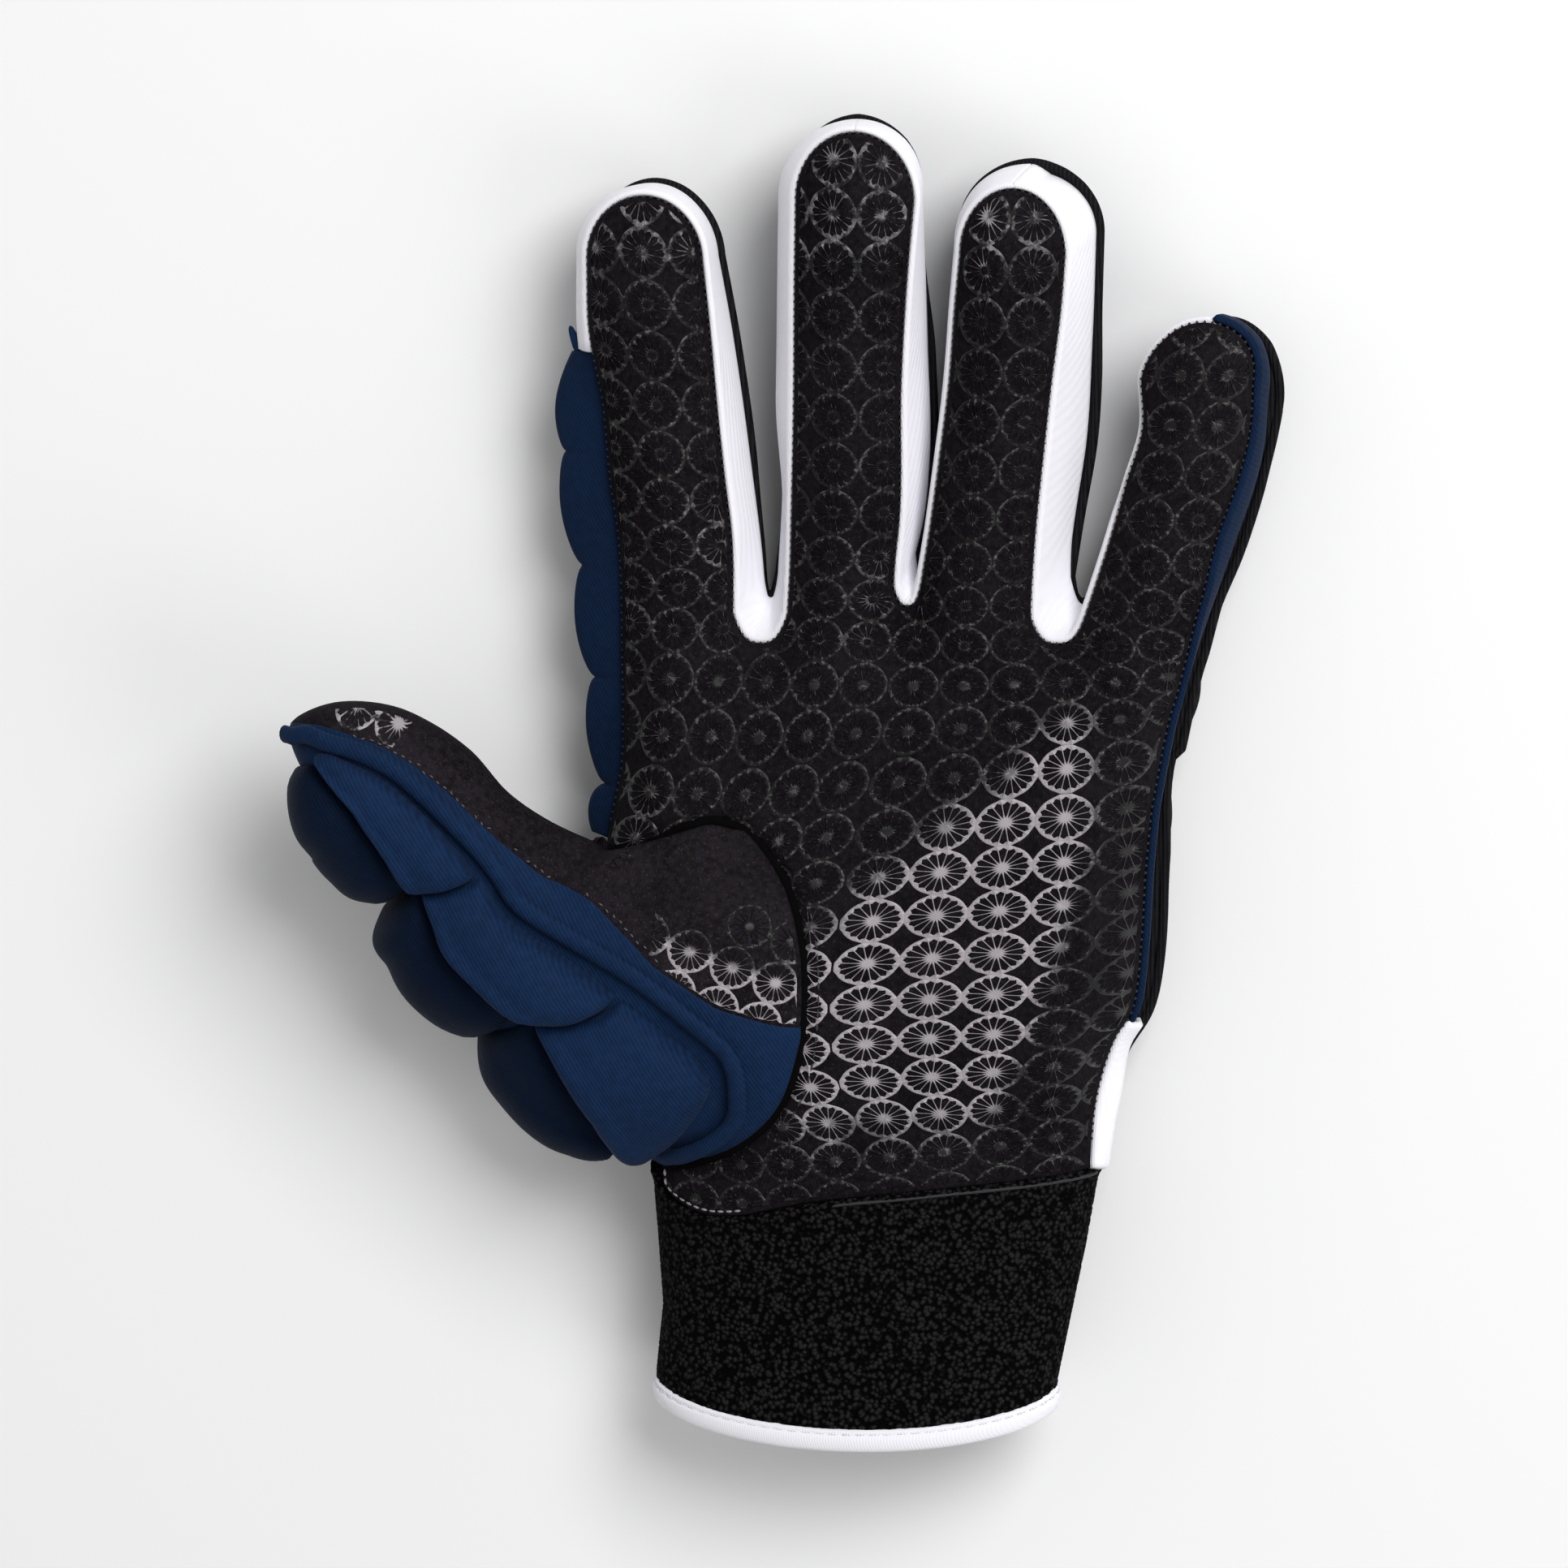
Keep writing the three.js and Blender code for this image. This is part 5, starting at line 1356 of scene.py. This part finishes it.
class GLOVE_OT_palm_print(bpy.types.Operator):
    """Add the raised grip print of the palm and of the thumb"""

    bl_idname = "glove.palm_print"
    bl_label = "Grip print"

    def execute(self, context):
        height = context.scene.glove_sizes.print_height / MM
        self.add_palm(height)
        self.add_thumb(height)
        return {"FINISHED"}

    def add_palm(self, height):
        centres, right, up = [], [], []
        for row in range(-15, 11):
            for finger in range(len(FINGERS)) if row > 0 else [None]:
                columns = np.arange(-10, 6)
                here = print_palm_centres(columns, row, finger)
                if finger is not None:
                    shape = FINGERS[finger]["palm"]
                    level = min(PRINT_TOP + PRINT_FINGER_STEP * row, shape["cap"])
                    left, last = (side_at(shape["edges"], k, level) for k in (1, 2))
                    near = (here[:, 0] > left - PRINT_REACH) & (here[:, 0] < last + PRINT_REACH)
                    columns, here = columns[near], here[near]
                centres.append(here)
                sides = [print_palm_centres(columns + k, row, finger) for k in (1, -1)]
                ends = [print_palm_centres(columns, row + k, finger) for k in (1, -1)]
                right.append((sides[0] - sides[1]) / 4)
                up.append((ends[0] - ends[1]) / 4)
        centres, right, up = map(np.concatenate, (centres, right, up))
        x, y = centres.T
        high = np.where(x > PRINT_WORN["right"], PRINT_WORN["right_high"], PRINT_WORN["high"])
        worn = (y > PRINT_WORN["low"]) & (y < high)
        plan, heights, faces = wheels(centres, right, up, worn)
        flat, used, faces = trimmed(PANELS["palm"].outline, PRINT_MARGIN["palm"], plan, faces)
        level = palm_surface(flat) - PRINT_SINK + heights[used] * (height + PRINT_SINK)
        make_piece("palm_print", (lifted(flat, level), faces), "grip")

    def add_thumb(self, height):
        tree = BVHTree.FromObject(
            bpy.data.objects["thumb_palm_cloth"], bpy.context.evaluated_depsgraph_get())
        turn = math.radians(THUMB_PRINT["degrees"])
        right_step = np.array([math.cos(turn), math.sin(turn)]) * THUMB_PRINT["right"]
        up_step = np.array([math.sin(-turn), math.cos(turn)]) * THUMB_PRINT["up"]
        centres = np.array([
            THUMB_PRINT["first"] + 2 * i * right_step + 2 * j * up_step
            for i in range(-11, 3) for j in range(-4, 7)
        ])
        worn_away = (centres > THUMB_PRINT["worn"]).all(1)
        centres = centres[~worn_away & (centres[:, 0] > THUMB_PRINT["end"])]
        plan, heights, faces = wheels(centres, right_step[None], up_step[None])
        patches = []
        for start, end, shift in THUMB_PRINT_SPANS:
            shares = np.linspace(start, end, 12)
            columns = np.linspace(0, BLACK_COLUMNS, 30)
            ring = np.concatenate([
                thumb_point([end], columns)[0], thumb_border(shares[::-1]),
                thumb_point([start], columns[::-1])[0], thumb_point(shares, [0])[:, 0],
            ])
            patches.append(trimmed(ring[:, :2], PRINT_MARGIN["thumb"], plan + shift, faces))
        (root, root_used, root_faces), (tip, tip_used, tip_faces) = patches
        plan = np.concatenate([root, tip])
        heights = heights[np.concatenate([root_used, tip_used])]
        faces = np.concatenate([root_faces, tip_faces + len(root)])
        good = np.zeros(len(plan), bool)
        points = np.zeros((len(plan), 3))
        for k, (x, y) in enumerate(plan + CENTRE_SHIFT[:2]):
            hit, normal, _, _ = tree.ray_cast(Vector((x * MM, y * MM, 0.1)), Vector((0, 0, -1)))
            if hit is not None and normal.z >= 0.2:
                good[k] = True
                stand = (heights[k] * (height + PRINT_SINK) - PRINT_SINK) * MM
                points[k] = np.array(hit + normal * stand) / MM - CENTRE_SHIFT
        used, faces = used_points(faces[good[faces].all(1)], len(points))
        make_piece("thumb_print", (points[used], faces), "grip")


def back_piping_stand(x, y, out):
    """How far the piping of the back stands out from its edge, by place and direction."""
    right = np.maximum(0, out[:, 0])
    left = np.maximum(0, -out[:, 0]) * smooth(y, 30, 44)
    index, ring = (smooth(x, low, low + 6) * (1 - smooth(x, low + 16, low + 22)) for low in (-18, 40))
    middle = right * smooth(x, 6, 12) * (1 - smooth(x, 26, 30))
    stand = 0.1 - 0.7 * left + 0.3 * right * smooth(y, 30, 40)
    stand = stand + 0.45 * right * smooth(x, 44, 50) * (1 - smooth(y, 70, 84))
    stand = stand - right * index * 0.8 * (1 - smooth(y, 36, 62))
    stand = stand - right * ring * smooth(y, 28, 34) * mix(1.6, 1.2, smooth(y, 36, 60))
    stand = stand - 1.2 * right * smooth(x, 64, 68) * smooth(y, 22, 32) * (1 - smooth(y, 54, 68))
    stand = stand + right * np.interp(y, *WRIST_PIPING) * smooth(x, 50, 56)
    stand = stand - 0.8 * smooth(x, 60, 66) * smooth(y, 64, 76)
    return stand + middle * (0.1 * smooth(y, 44, 54) - 1.3 * smooth(y, 74, 92))


class GLOVE_OT_back(bpy.types.Operator):
    """Add the black cloth of the back and the piping along its edge"""

    bl_idname = "glove.back"
    bl_label = "Back"

    def execute(self, context):
        back = PANELS["back"]
        quads = np.concatenate([grid_quads(lifted(patch, back_height(patch))) for patch in back.patches])
        make_piece("back_cloth", shell(quads, CLOTH["plain"]), "back", "back_panel")
        place = np.linspace(SIDE_PAD_END - 2.5, GUSSET_END - 0.5, 900)
        edge, out = back.at(place), back.outward(place)
        edge = edge + out * back_piping_stand(*edge.T, out)[:, None]
        line = lifted(edge, back_height(edge) + BACK_PIPING["lift"])
        make_piece("back_edge_piping", piping(line, BACK_PIPING["radius"]), "back")
        return {"FINISHED"}


class GLOVE_OT_white_walls(bpy.types.Operator):
    """Add the white stretch walls between the fingers and the wrist gusset"""

    bl_idname = "glove.white_walls"
    bl_label = "White walls"

    def execute(self, context):
        def bulge(points, out):
            x, y = points.T
            share = np.maximum(0, -out[:, 0]) ** 2 * smooth(y, 44, 66)
            full = mix(1.9, 0.3, smooth(x, 18, 24) * (1 - smooth(x, 32, 38)))
            return mix(mix(0.2, full, share), -2.2, smooth(x, 54, 60) * smooth(y, 44, 52))

        def inset(points):
            x, y = points.T
            ring_right = smooth(x, 42, 46) * (1 - smooth(x - 52.5 - 0.22 * (y - 40), -0.8, 0.8))
            return 1 + 3 * smooth(x, 58, 64) * smooth(y, 58, 70) + 1.4 * ring_right * smooth(y, 30, 44)

        def gusset_bulge(points, out):
            return mix(1.0, 2.6, smooth(-points[:, 1], 42, 54))

        stops = [SIDE_PAD_END, tip_place(1), tip_place(2), tip_place(3) + LITTLE_STRIP_SHIFT]
        for k, name in enumerate(("index_middle", "middle_ring", "ring_little")):
            wall = side_wall(stops[k], stops[k + 1], 7, inset, bulge)
            node = f"fourchette_{name}"
            make_piece(f"white_wall_{name}", cloth(wall, CLOTH["thin"]), "white", node)
        wall = side_wall(LITTLE_STRIP_END + SEAM_ALLOWANCE, GUSSET_END, 14, lambda points: 1, gusset_bulge)
        make_piece("wrist_gusset_cloth", cloth(wall, CLOTH["plain"]), "white", "wrist_gusset")
        return {"FINISHED"}


class GLOVE_OT_navy_sides(bpy.types.Operator):
    """Add the ribbed navy pad beside the index finger and the strip beside the little finger"""

    bl_idname = "glove.navy_sides"
    bl_label = "Navy sides"

    def execute(self, context):
        ribs = np.array(SIDE_PAD["ribs"], float)

        def ribbed(points, out):
            y = points[:, 1]
            following = np.clip(np.searchsorted(ribs, y), 1, len(ribs) - 1)
            t = np.clip((y - ribs[following - 1]) / (ribs[following] - ribs[following - 1]), 0, 1)
            groove = np.interp(y, ribs, SIDE_PAD["grooves"])
            return spline(*SIDE_PAD["reach"], y) * mix(groove, 1, np.sin(np.pi * t) ** 0.5)

        def strip_bulge(points, out):
            return mix(0.4, 1.1, smooth(points[:, 1], 10, 60))

        # The side pad and the strip beside the little finger take a darker copy of the navy: painted shade
        thick = CLOTH["thick"]
        end = SIDE_PAD_END - SEAM_ALLOWANCE
        wall = side_wall(SIDE_PAD_START, end, 26, lambda points: 1, ribbed, 18, thick)
        padding = cloth(wall, thick)
        make_piece("index_side_padding", padding, "navy_side_shaded", "index_side_pad")
        tab = spline([0, 1, 2, 3], SIDE_TAB, np.linspace(0, 3, 24))
        make_piece("index_side_tab", strip(tab, oval(0.9, 0.6), 14), "navy")
        start = tip_place(3) + LITTLE_STRIP_SHIFT
        wall = side_wall(start, LITTLE_STRIP_END, 7, lambda points: 3.2, strip_bulge)
        strip_cloth = cloth(wall, CLOTH["plain"])
        make_piece("little_strip_cloth", strip_cloth, "navy_side_shaded", "little_side_strip")
        return {"FINISHED"}


class GLOVE_OT_thumb(bpy.types.Operator):
    """Add the black and the navy cloth of the thumb and the flange beside its pads"""

    bl_idname = "glove.thumb"
    bl_label = "Thumb"

    def execute(self, context):
        self.add_cloths()
        self.add_flange()
        # A near-black strip deep in the seam's groove paints the groove's shadow
        seam = path_at(THUMB_SEAM, np.linspace(0, 1, 220))
        line = lifted(seam, palm_height(seam) - SEAM_GROOVE_SHADOW["depth"])
        groove_shadow = strip(line, oval(SEAM_GROOVE_SHADOW["half_width"], SEAM_GROOVE_SHADOW["half_height"]))
        make_piece("thumb_seam_groove_shadow", groove_shadow, "groove_shadow")
        return {"FINISHED"}

    def add_cloths(self):
        # The rows of the cloth crowd towards the tip
        shares = np.concatenate([np.linspace(0, 1, 14) ** 2 * 0.08, np.linspace(0.08, 1, 90)[1:]])[:, None]
        under = THUMB_COLUMNS - UNDER_BLACK_COLUMNS
        over = THUMB_COLUMNS + BLACK_COLUMNS
        rows = np.linspace(0, 1, 1001)
        steps = np.linspace(0, THUMB_COLUMNS + 12, 401)
        surface = thumb_point(rows, steps)
        drift = border_column(shares) - BLACK_COLUMNS
        for name, start, end, finish, slot, node in (
            ("thumb_palm_cloth", under, over, "thumb_palm", "palm", "thumb_palm_panel"),
            ("thumb_cloth", BLACK_COLUMNS, under, "navy", "navy", "thumb_shell"),
        ):
            across = np.linspace(0, 1, int((end - start) * 5) + 1)
            columns = mix(start + drift * (slot == "navy"), end + drift * (slot == "palm"), across)
            grid = sample_grid(surface, rows, steps, shares, columns)
            make_piece(name, shell(grid_quads(grid), CLOTH["thick"]), finish, node)

    def add_flange(self):
        nodes = np.arange(len(THUMB_FLANGE))
        share, angle = spline(nodes, THUMB_FLANGE, np.linspace(0, nodes[-1], 160)).T
        line, up = ThumbSkin(60, 200).at(np.clip(share, 0.012, 0.99), angle)
        side = unit(np.cross(up, unit(np.gradient(line, axis=0))))
        wave = 0.25 * np.sin(np.linspace(0, 46, len(line)))[:, None]
        flange = sweep(line + up * 1.55 + side * wave, side, up, oval(1.6, 1.0, 0.2))
        make_piece("thumb_flange", flange, "navy")


class GLOVE_OT_thumb_pads(bpy.types.Operator):
    """Add the navy foam segments on the back of the thumb"""

    bl_idname = "glove.thumb_pads"
    bl_label = "Thumb pads"

    def execute(self, context):
        skin = ThumbSkin(80, 214)
        for column in THUMB_PAD_COLUMNS:
            for k in range(3):
                self.add_pad(column, k, skin)
        return {"FINISHED"}

    def add_pad(self, column, k, skin):
        line = np.linspace(-1, 1, THUMB_PAD_STEPS + 1)
        a, b = np.meshgrid(line, line)
        inner = column["name"] == "inner"
        corner = np.where(b > 0, 1.0 if k == 2 else 0.1, 0.9 if k == 0 else 0.1) * b ** 2
        u = (mix(a, a * np.sqrt(1 - b ** 2 / 2), corner) + 1) / 2
        v = (mix(b, b * np.sqrt(1 - a ** 2 / 2), column["bow"]) + 1) / 2
        near, far = column["near"], column["far"]
        start = mix(near[k], far[k], u) + THUMB_PAD_GAP
        end = mix(near[k + 1], far[k + 1], u) - THUMB_PAD_GAP
        sag = 0.014 * (1 - (2 * u - 1) ** 2)
        share = mix(start + sag * (k > 0), end + sag * (k < 2), v)
        ridge = np.interp(share, *THUMB_RIDGE)
        low, high = (np.interp(share, *THUMB_GROOVE), ridge - 1) if inner else (ridge + 1, THUMB_PAD_EDGE)
        base, normal = skin.at(share, mix(low, high, u))
        beside = 1 - np.clip((np.abs(a) - 0.84) / 0.16, 0, 1) ** 2.5
        across = 1 - np.clip((np.abs(b) - 0.9) / 0.1, 0, 1) ** 2.5
        full = spline(*column["profile"], u) * mix(0.35, 1, beside) * mix(0.4, 1, across)
        dimple = 0.12 * np.sin(7 * u + 3 * k) * np.sin(9 * v + k)
        depth = np.maximum(0.6, spline(*column["heights"][k], v) * full + dimple)
        outer = base + normal * (THUMB_PAD_LIFT + depth)[..., None]
        under = base + normal * THUMB_PAD_LIFT * 0.4
        foam = shell(grid_quads(np.concatenate([outer, under], -1)), THUMB_PAD_WALL)
        name = f"thumb_pad_{column['name']}_{k + 1}"
        # The outer pads take the darker copy of the navy: painted shade
        make_piece(f"{name}_foam", foam, "navy" if inner else "shaded_navy", name)


def back_pad(name, plan_at, floor_at, finish, softness):
    """One foam pad under the back, with a flat lowest face and rounded sides."""
    line = np.linspace(-1, 1, BACK_PAD_STEPS + 1)
    u, v = np.meshgrid(line, line)
    full = np.clip((1 - np.abs(u) ** 5) * (1 - np.abs(v) ** 5), 0, 1) ** softness
    round_u, round_v = u * np.sqrt(1 - v ** 2 / 2), v * np.sqrt(1 - u ** 2 / 2)
    plan = plan_at((mix(u, round_u, BACK_PAD_CORNER) + 1) / 2, (mix(v, round_v, BACK_PAD_CORNER) + 1) / 2)
    top = back_height(plan) - BACK_PAD_SINK
    bottom = mix(top - BACK_PAD_EDGE, floor_at(plan[..., 1]), full)
    foam = cloth(np.concatenate([lifted(plan, bottom), lifted(plan, top)], -1), PAD_WALL)
    make_piece(f"{name}_foam", foam, finish, name)


class GLOVE_OT_finger_pads(bpy.types.Operator):
    """Add the navy foam pads on the backs of the fingers"""

    bl_idname = "glove.finger_pads"
    bl_label = "Finger back pads"

    def execute(self, context):
        softness = context.scene.glove_sizes.pad_softness
        for finger in FINGERS:
            cap, edges = finger["back"]["cap"], finger["back"]["edges"]
            tip_reach = finger["back"]["tip"][1] - cap + 1
            for k in range(3):
                start, end = finger["pads"][k] + FINGER_PAD_GAP, finger["pads"][k + 1] - FINGER_PAD_GAP

                def plan_at(u, v):
                    y = mix(start, end, v)
                    rounded = np.sqrt(1 - (np.maximum(0, y - cap) / tip_reach) ** 2)
                    left, right = side_at(edges, 1, y), side_at(edges, 2, y)
                    half = ((right - left) / 2 - FINGER_PAD_MARGIN) * rounded
                    return np.stack([(left + right) / 2 + half * (2 * u - 1), y], -1)

                back_pad(f"{finger['name']}_back_pad_{k + 1}", plan_at, curl, "navy", softness)
        return {"FINISHED"}


class GLOVE_OT_hand_pads(bpy.types.Operator):
    """Add the black foam pads on the back of the hand"""

    bl_idname = "glove.hand_pads"
    bl_label = "Hand back pads"

    def execute(self, context):
        softness = context.scene.glove_sizes.pad_softness * 0.7
        for row, (start, end) in enumerate(HAND_PAD_ROWS):
            for column in range(HAND_PAD_COLUMNS):

                def plan_at(u, v):
                    y = mix(end, start, v)
                    left, right = (side_at(HAND_PAD_SIDES, k, y) for k in (1, 2))
                    width = (right - left) / HAND_PAD_COLUMNS
                    place = column + mix(HAND_PAD_GAP, 1 - HAND_PAD_GAP, u)
                    return np.stack([left + width * place, y], -1)

                name = f"hand_back_pad_{row + 1}_{column + 1}"
                back_pad(name, plan_at, np.zeros_like, "foam", softness)
        return {"FINISHED"}


def cuff_ring(y, turn, offset):
    sections = np.array(CUFF_SECTIONS, float)[::-1]
    x, z, half, high = (np.interp(y, sections[:, 0], sections[:, k]) for k in range(1, 5))
    return np.stack([x + (half + offset) * np.cos(turn), y, z + (high + offset) * np.sin(turn)], -1)


def hem_at(turn):
    dip = np.maximum(0, np.sin(turn)) ** HEM["dip_power"]
    return HEM["y"] + HEM["slant"] * np.cos(turn) - HEM["dip"] * dip


def cuff_top_at(turn):
    _, middle, _, half, _ = CUFF_SECTIONS[0]
    x = middle + half * np.cos(turn)
    front = np.interp(x, [row[0] for row in CUFF_TOP], [row[1] for row in CUFF_TOP])
    return mix(CUFF_BACK_TOP, front, smooth(np.sin(turn), -0.04, 0.06))


class GLOVE_OT_cuff(bpy.types.Operator):
    """Add the pebbled elastic cuff and its white binding"""

    bl_idname = "glove.cuff"
    bl_label = "Cuff"

    def execute(self, context):
        self.add_elastic(context.scene.glove_sizes.pebble_height / MM)
        self.add_binding()
        turn = np.linspace(0.14, 1.74, 160)
        line = cuff_ring(cuff_top_at(turn) - CUFF_PIPING["below_top"], turn, CUFF_PIPING["stand"])
        make_piece("cuff_top_piping", piping(line, CUFF_PIPING["radius"]), "black_thread")
        return {"FINISHED"}

    def add_elastic(self, pebble_height):
        turn = np.linspace(0, 2 * np.pi, 380, endpoint=False)
        share = np.linspace(0, 1, 93)[:, None]
        y = mix(cuff_top_at(turn), hem_at(turn) + BINDING_WIDTH, share)
        cells_around, cells_along = PEBBLES["around"], PEBBLES["along"]
        rng = np.random.default_rng(PEBBLE_SEED)
        centres = rng.uniform(*PEBBLES["spread"], (cells_along, cells_around, 2))
        u, v = np.broadcast_arrays(turn / (2 * np.pi) * cells_around, share * (cells_along - 1))
        nearest = np.full(u.shape, 9.0)
        for dv in (-1, 0, 1):
            for du in (-1, 0, 1):
                cu = np.floor(u).astype(int) + du
                cv = np.clip(np.floor(v).astype(int) + dv, 0, cells_along - 1)
                spot = centres[cv, cu % cells_around]
                nearest = np.minimum(nearest, np.hypot(u - cu - spot[..., 0], v - cv - spot[..., 1]))
        pebble = pebble_height * np.clip(1 - nearest ** 2 * PEBBLES["roundness"], 0, 1)
        roll = 0.5 * np.exp(-(share * 40 / 0.9) ** 2)
        stand = pebble + roll - PEBBLES["sink"]
        self.add_band("cuff_elastic", y, turn, stand, CUFF_INNER, "cuff", "cuff")

    def add_binding(self):
        turn = np.linspace(0, 2 * np.pi, 200, endpoint=False)
        share = np.linspace(0, 1, 15)[:, None]
        y = hem_at(turn) + BINDING_WIDTH * (1 - share)
        beside = share - BINDING_SEAM
        stand = 0.8 * np.sin(np.pi * np.clip(share, 0, 1)) ** 0.5 - 0.35 * np.exp(-(beside / 0.05) ** 2)
        ripple = 0.06 * np.sin(turn * 70) * np.exp(-(beside / 0.12) ** 2)
        self.add_band("cuff_binding_cloth", y, turn, stand + ripple, BINDING_INNER, "white", "cuff_binding")

    def add_band(self, name, y, turn, outer, inner, slot, node):
        """A closed ring of cloth, with how far its two faces stand from the cuff's sections."""
        rings = [cuff_ring(y, np.broadcast_to(turn, y.shape), stand) for stand in (outer, inner)]
        band = shell(grid_quads(np.concatenate(rings, -1), True), CLOTH["band"])
        make_piece(name, band, slot, node)


class GLOVE_OT_stitches(bpy.types.Operator):
    """Add the stitches of the palm's edge and hem, the thumb's seam and border, and the binding"""

    bl_idname = "glove.stitches"
    bl_label = "Stitches"

    def execute(self, context):
        self.add_palm_edge(context.scene.glove_sizes.stitch_pitch / MM)
        for name, curve, span, inward, surface, pitch, size, finish in (
            ("thumb_seam_stitches", THUMB_SEAM, (0.42, 0.78, 200), 2.7, lambda p: palm_surface(p) + 0.12,
             2.4, STITCH["seam"], "dark_thread"),
            # Stitches on the hem's left end: their pale thread paints the glint along the fold
            ("palm_hem_stitches", PALM_HEM, (0.0, 0.24, 80), 0.5, lambda p: palm_height(p) + 0.05,
             1.6, STITCH["hem"], "glint_pale_thread"),
        ):
            seam = path_at(curve, np.linspace(*span))
            seam = seam + unit(quarter_turn(np.gradient(seam, axis=0))) * inward
            centres, along, _ = evenly(lifted(seam, surface(seam)), pitch)
            make_piece(name, beads(centres, along, UP, *size), finish)
        self.add_thumb_border()
        self.add_binding()
        return {"FINISHED"}

    def add_palm_edge(self, pitch):
        palm = PANELS["palm"]
        place = np.linspace(0.4, GUSSET_END - 0.4, 900)
        edge = palm.at(place)
        path = lifted(edge - palm.outward(place) * 0.15, palm_height(edge) - 0.25)
        centres, along, _ = evenly(path, pitch)
        over = unit(unit(np.cross(along, UP)) * -0.8 - UP * 0.6)
        stitches = beads(centres, over, np.cross(along, over), *STITCH["edge"])
        make_piece("palm_edge_stitches", stitches, "black_thread")

    def add_thumb_border(self):
        rows = np.linspace(0.1, 0.9, 240)
        border = thumb_border(rows, 0.25)
        up = unit(np.cross(thumb_border(rows) - border, np.gradient(border, axis=0)))
        centres, along, shares = evenly(border, 1.5)
        rng = np.random.default_rng(11)
        lift = between(shares, np.linspace(0, 1, len(up)), up)
        centres = centres + lift * 0.1 + rng.normal(0, 0.18, (len(centres), 1)) * np.cross(along, lift)
        along = unit(along + rng.normal(0, 0.35, (len(centres), 1)) * np.cross(along, lift))
        kept = rng.random(len(centres)) < 0.7
        stitches = beads(centres[kept], along[kept], lift[kept], *STITCH["border"])
        make_piece("thumb_border_stitches", stitches, "grey_thread")

    def add_binding(self):
        turn = np.linspace(0, 2 * np.pi, 400)
        centres, along, _ = evenly(cuff_ring(hem_at(turn) + BINDING_WIDTH * 0.78, turn, 0.42), 2.4)
        x, y, z = centres.T
        turn = np.arctan2(z - HEM["middle"][1], x - HEM["middle"][0])
        outward = unit(centres - cuff_ring(y, turn, -3))
        stitches = beads(centres, along, outward, *STITCH["binding"])
        make_piece("binding_stitches", stitches, "white_thread")


class GLOVE_PT_pieces(bpy.types.Panel):
    """The glove's settings and its pieces"""

    bl_idname = "GLOVE_PT_pieces"
    bl_label = "Field Hockey Glove"
    bl_space_type = "VIEW_3D"
    bl_region_type = "UI"
    bl_category = "Glove"

    def draw(self, context):
        scene = context.scene
        for group in (scene.glove_sizes, scene.glove_colours, scene.glove_stage):
            box = self.layout.box()
            for name in type(group).__annotations__:
                box.prop(group, name)
        for operator in OPERATORS:
            self.layout.operator(operator.bl_idname)


OPERATORS = (
    GLOVE_OT_stage, GLOVE_OT_palm, GLOVE_OT_back, GLOVE_OT_white_walls, GLOVE_OT_navy_sides,
    GLOVE_OT_thumb, GLOVE_OT_thumb_pads, GLOVE_OT_finger_pads, GLOVE_OT_hand_pads, GLOVE_OT_cuff,
    GLOVE_OT_palm_print, GLOVE_OT_stitches,
)
GROUPS = (("glove_sizes", GloveSizes), ("glove_colours", GloveColours), ("glove_stage", GloveStage))


def register():
    for name, group in GROUPS:
        bpy.utils.register_class(group)
        setattr(bpy.types.Scene, name, bpy.props.PointerProperty(type=group))
    for operator in OPERATORS:
        bpy.utils.register_class(operator)
    bpy.utils.register_class(GLOVE_PT_pieces)


def unregister():
    bpy.utils.unregister_class(GLOVE_PT_pieces)
    for operator in reversed(OPERATORS):
        bpy.utils.unregister_class(operator)
    for name, group in reversed(GROUPS):
        delattr(bpy.types.Scene, name)
        bpy.utils.unregister_class(group)


def main():
    register()
    for operator in OPERATORS:
        group, name = operator.bl_idname.split(".")
        getattr(getattr(bpy.ops, group), name)()


if __name__ == "__main__":
    main()
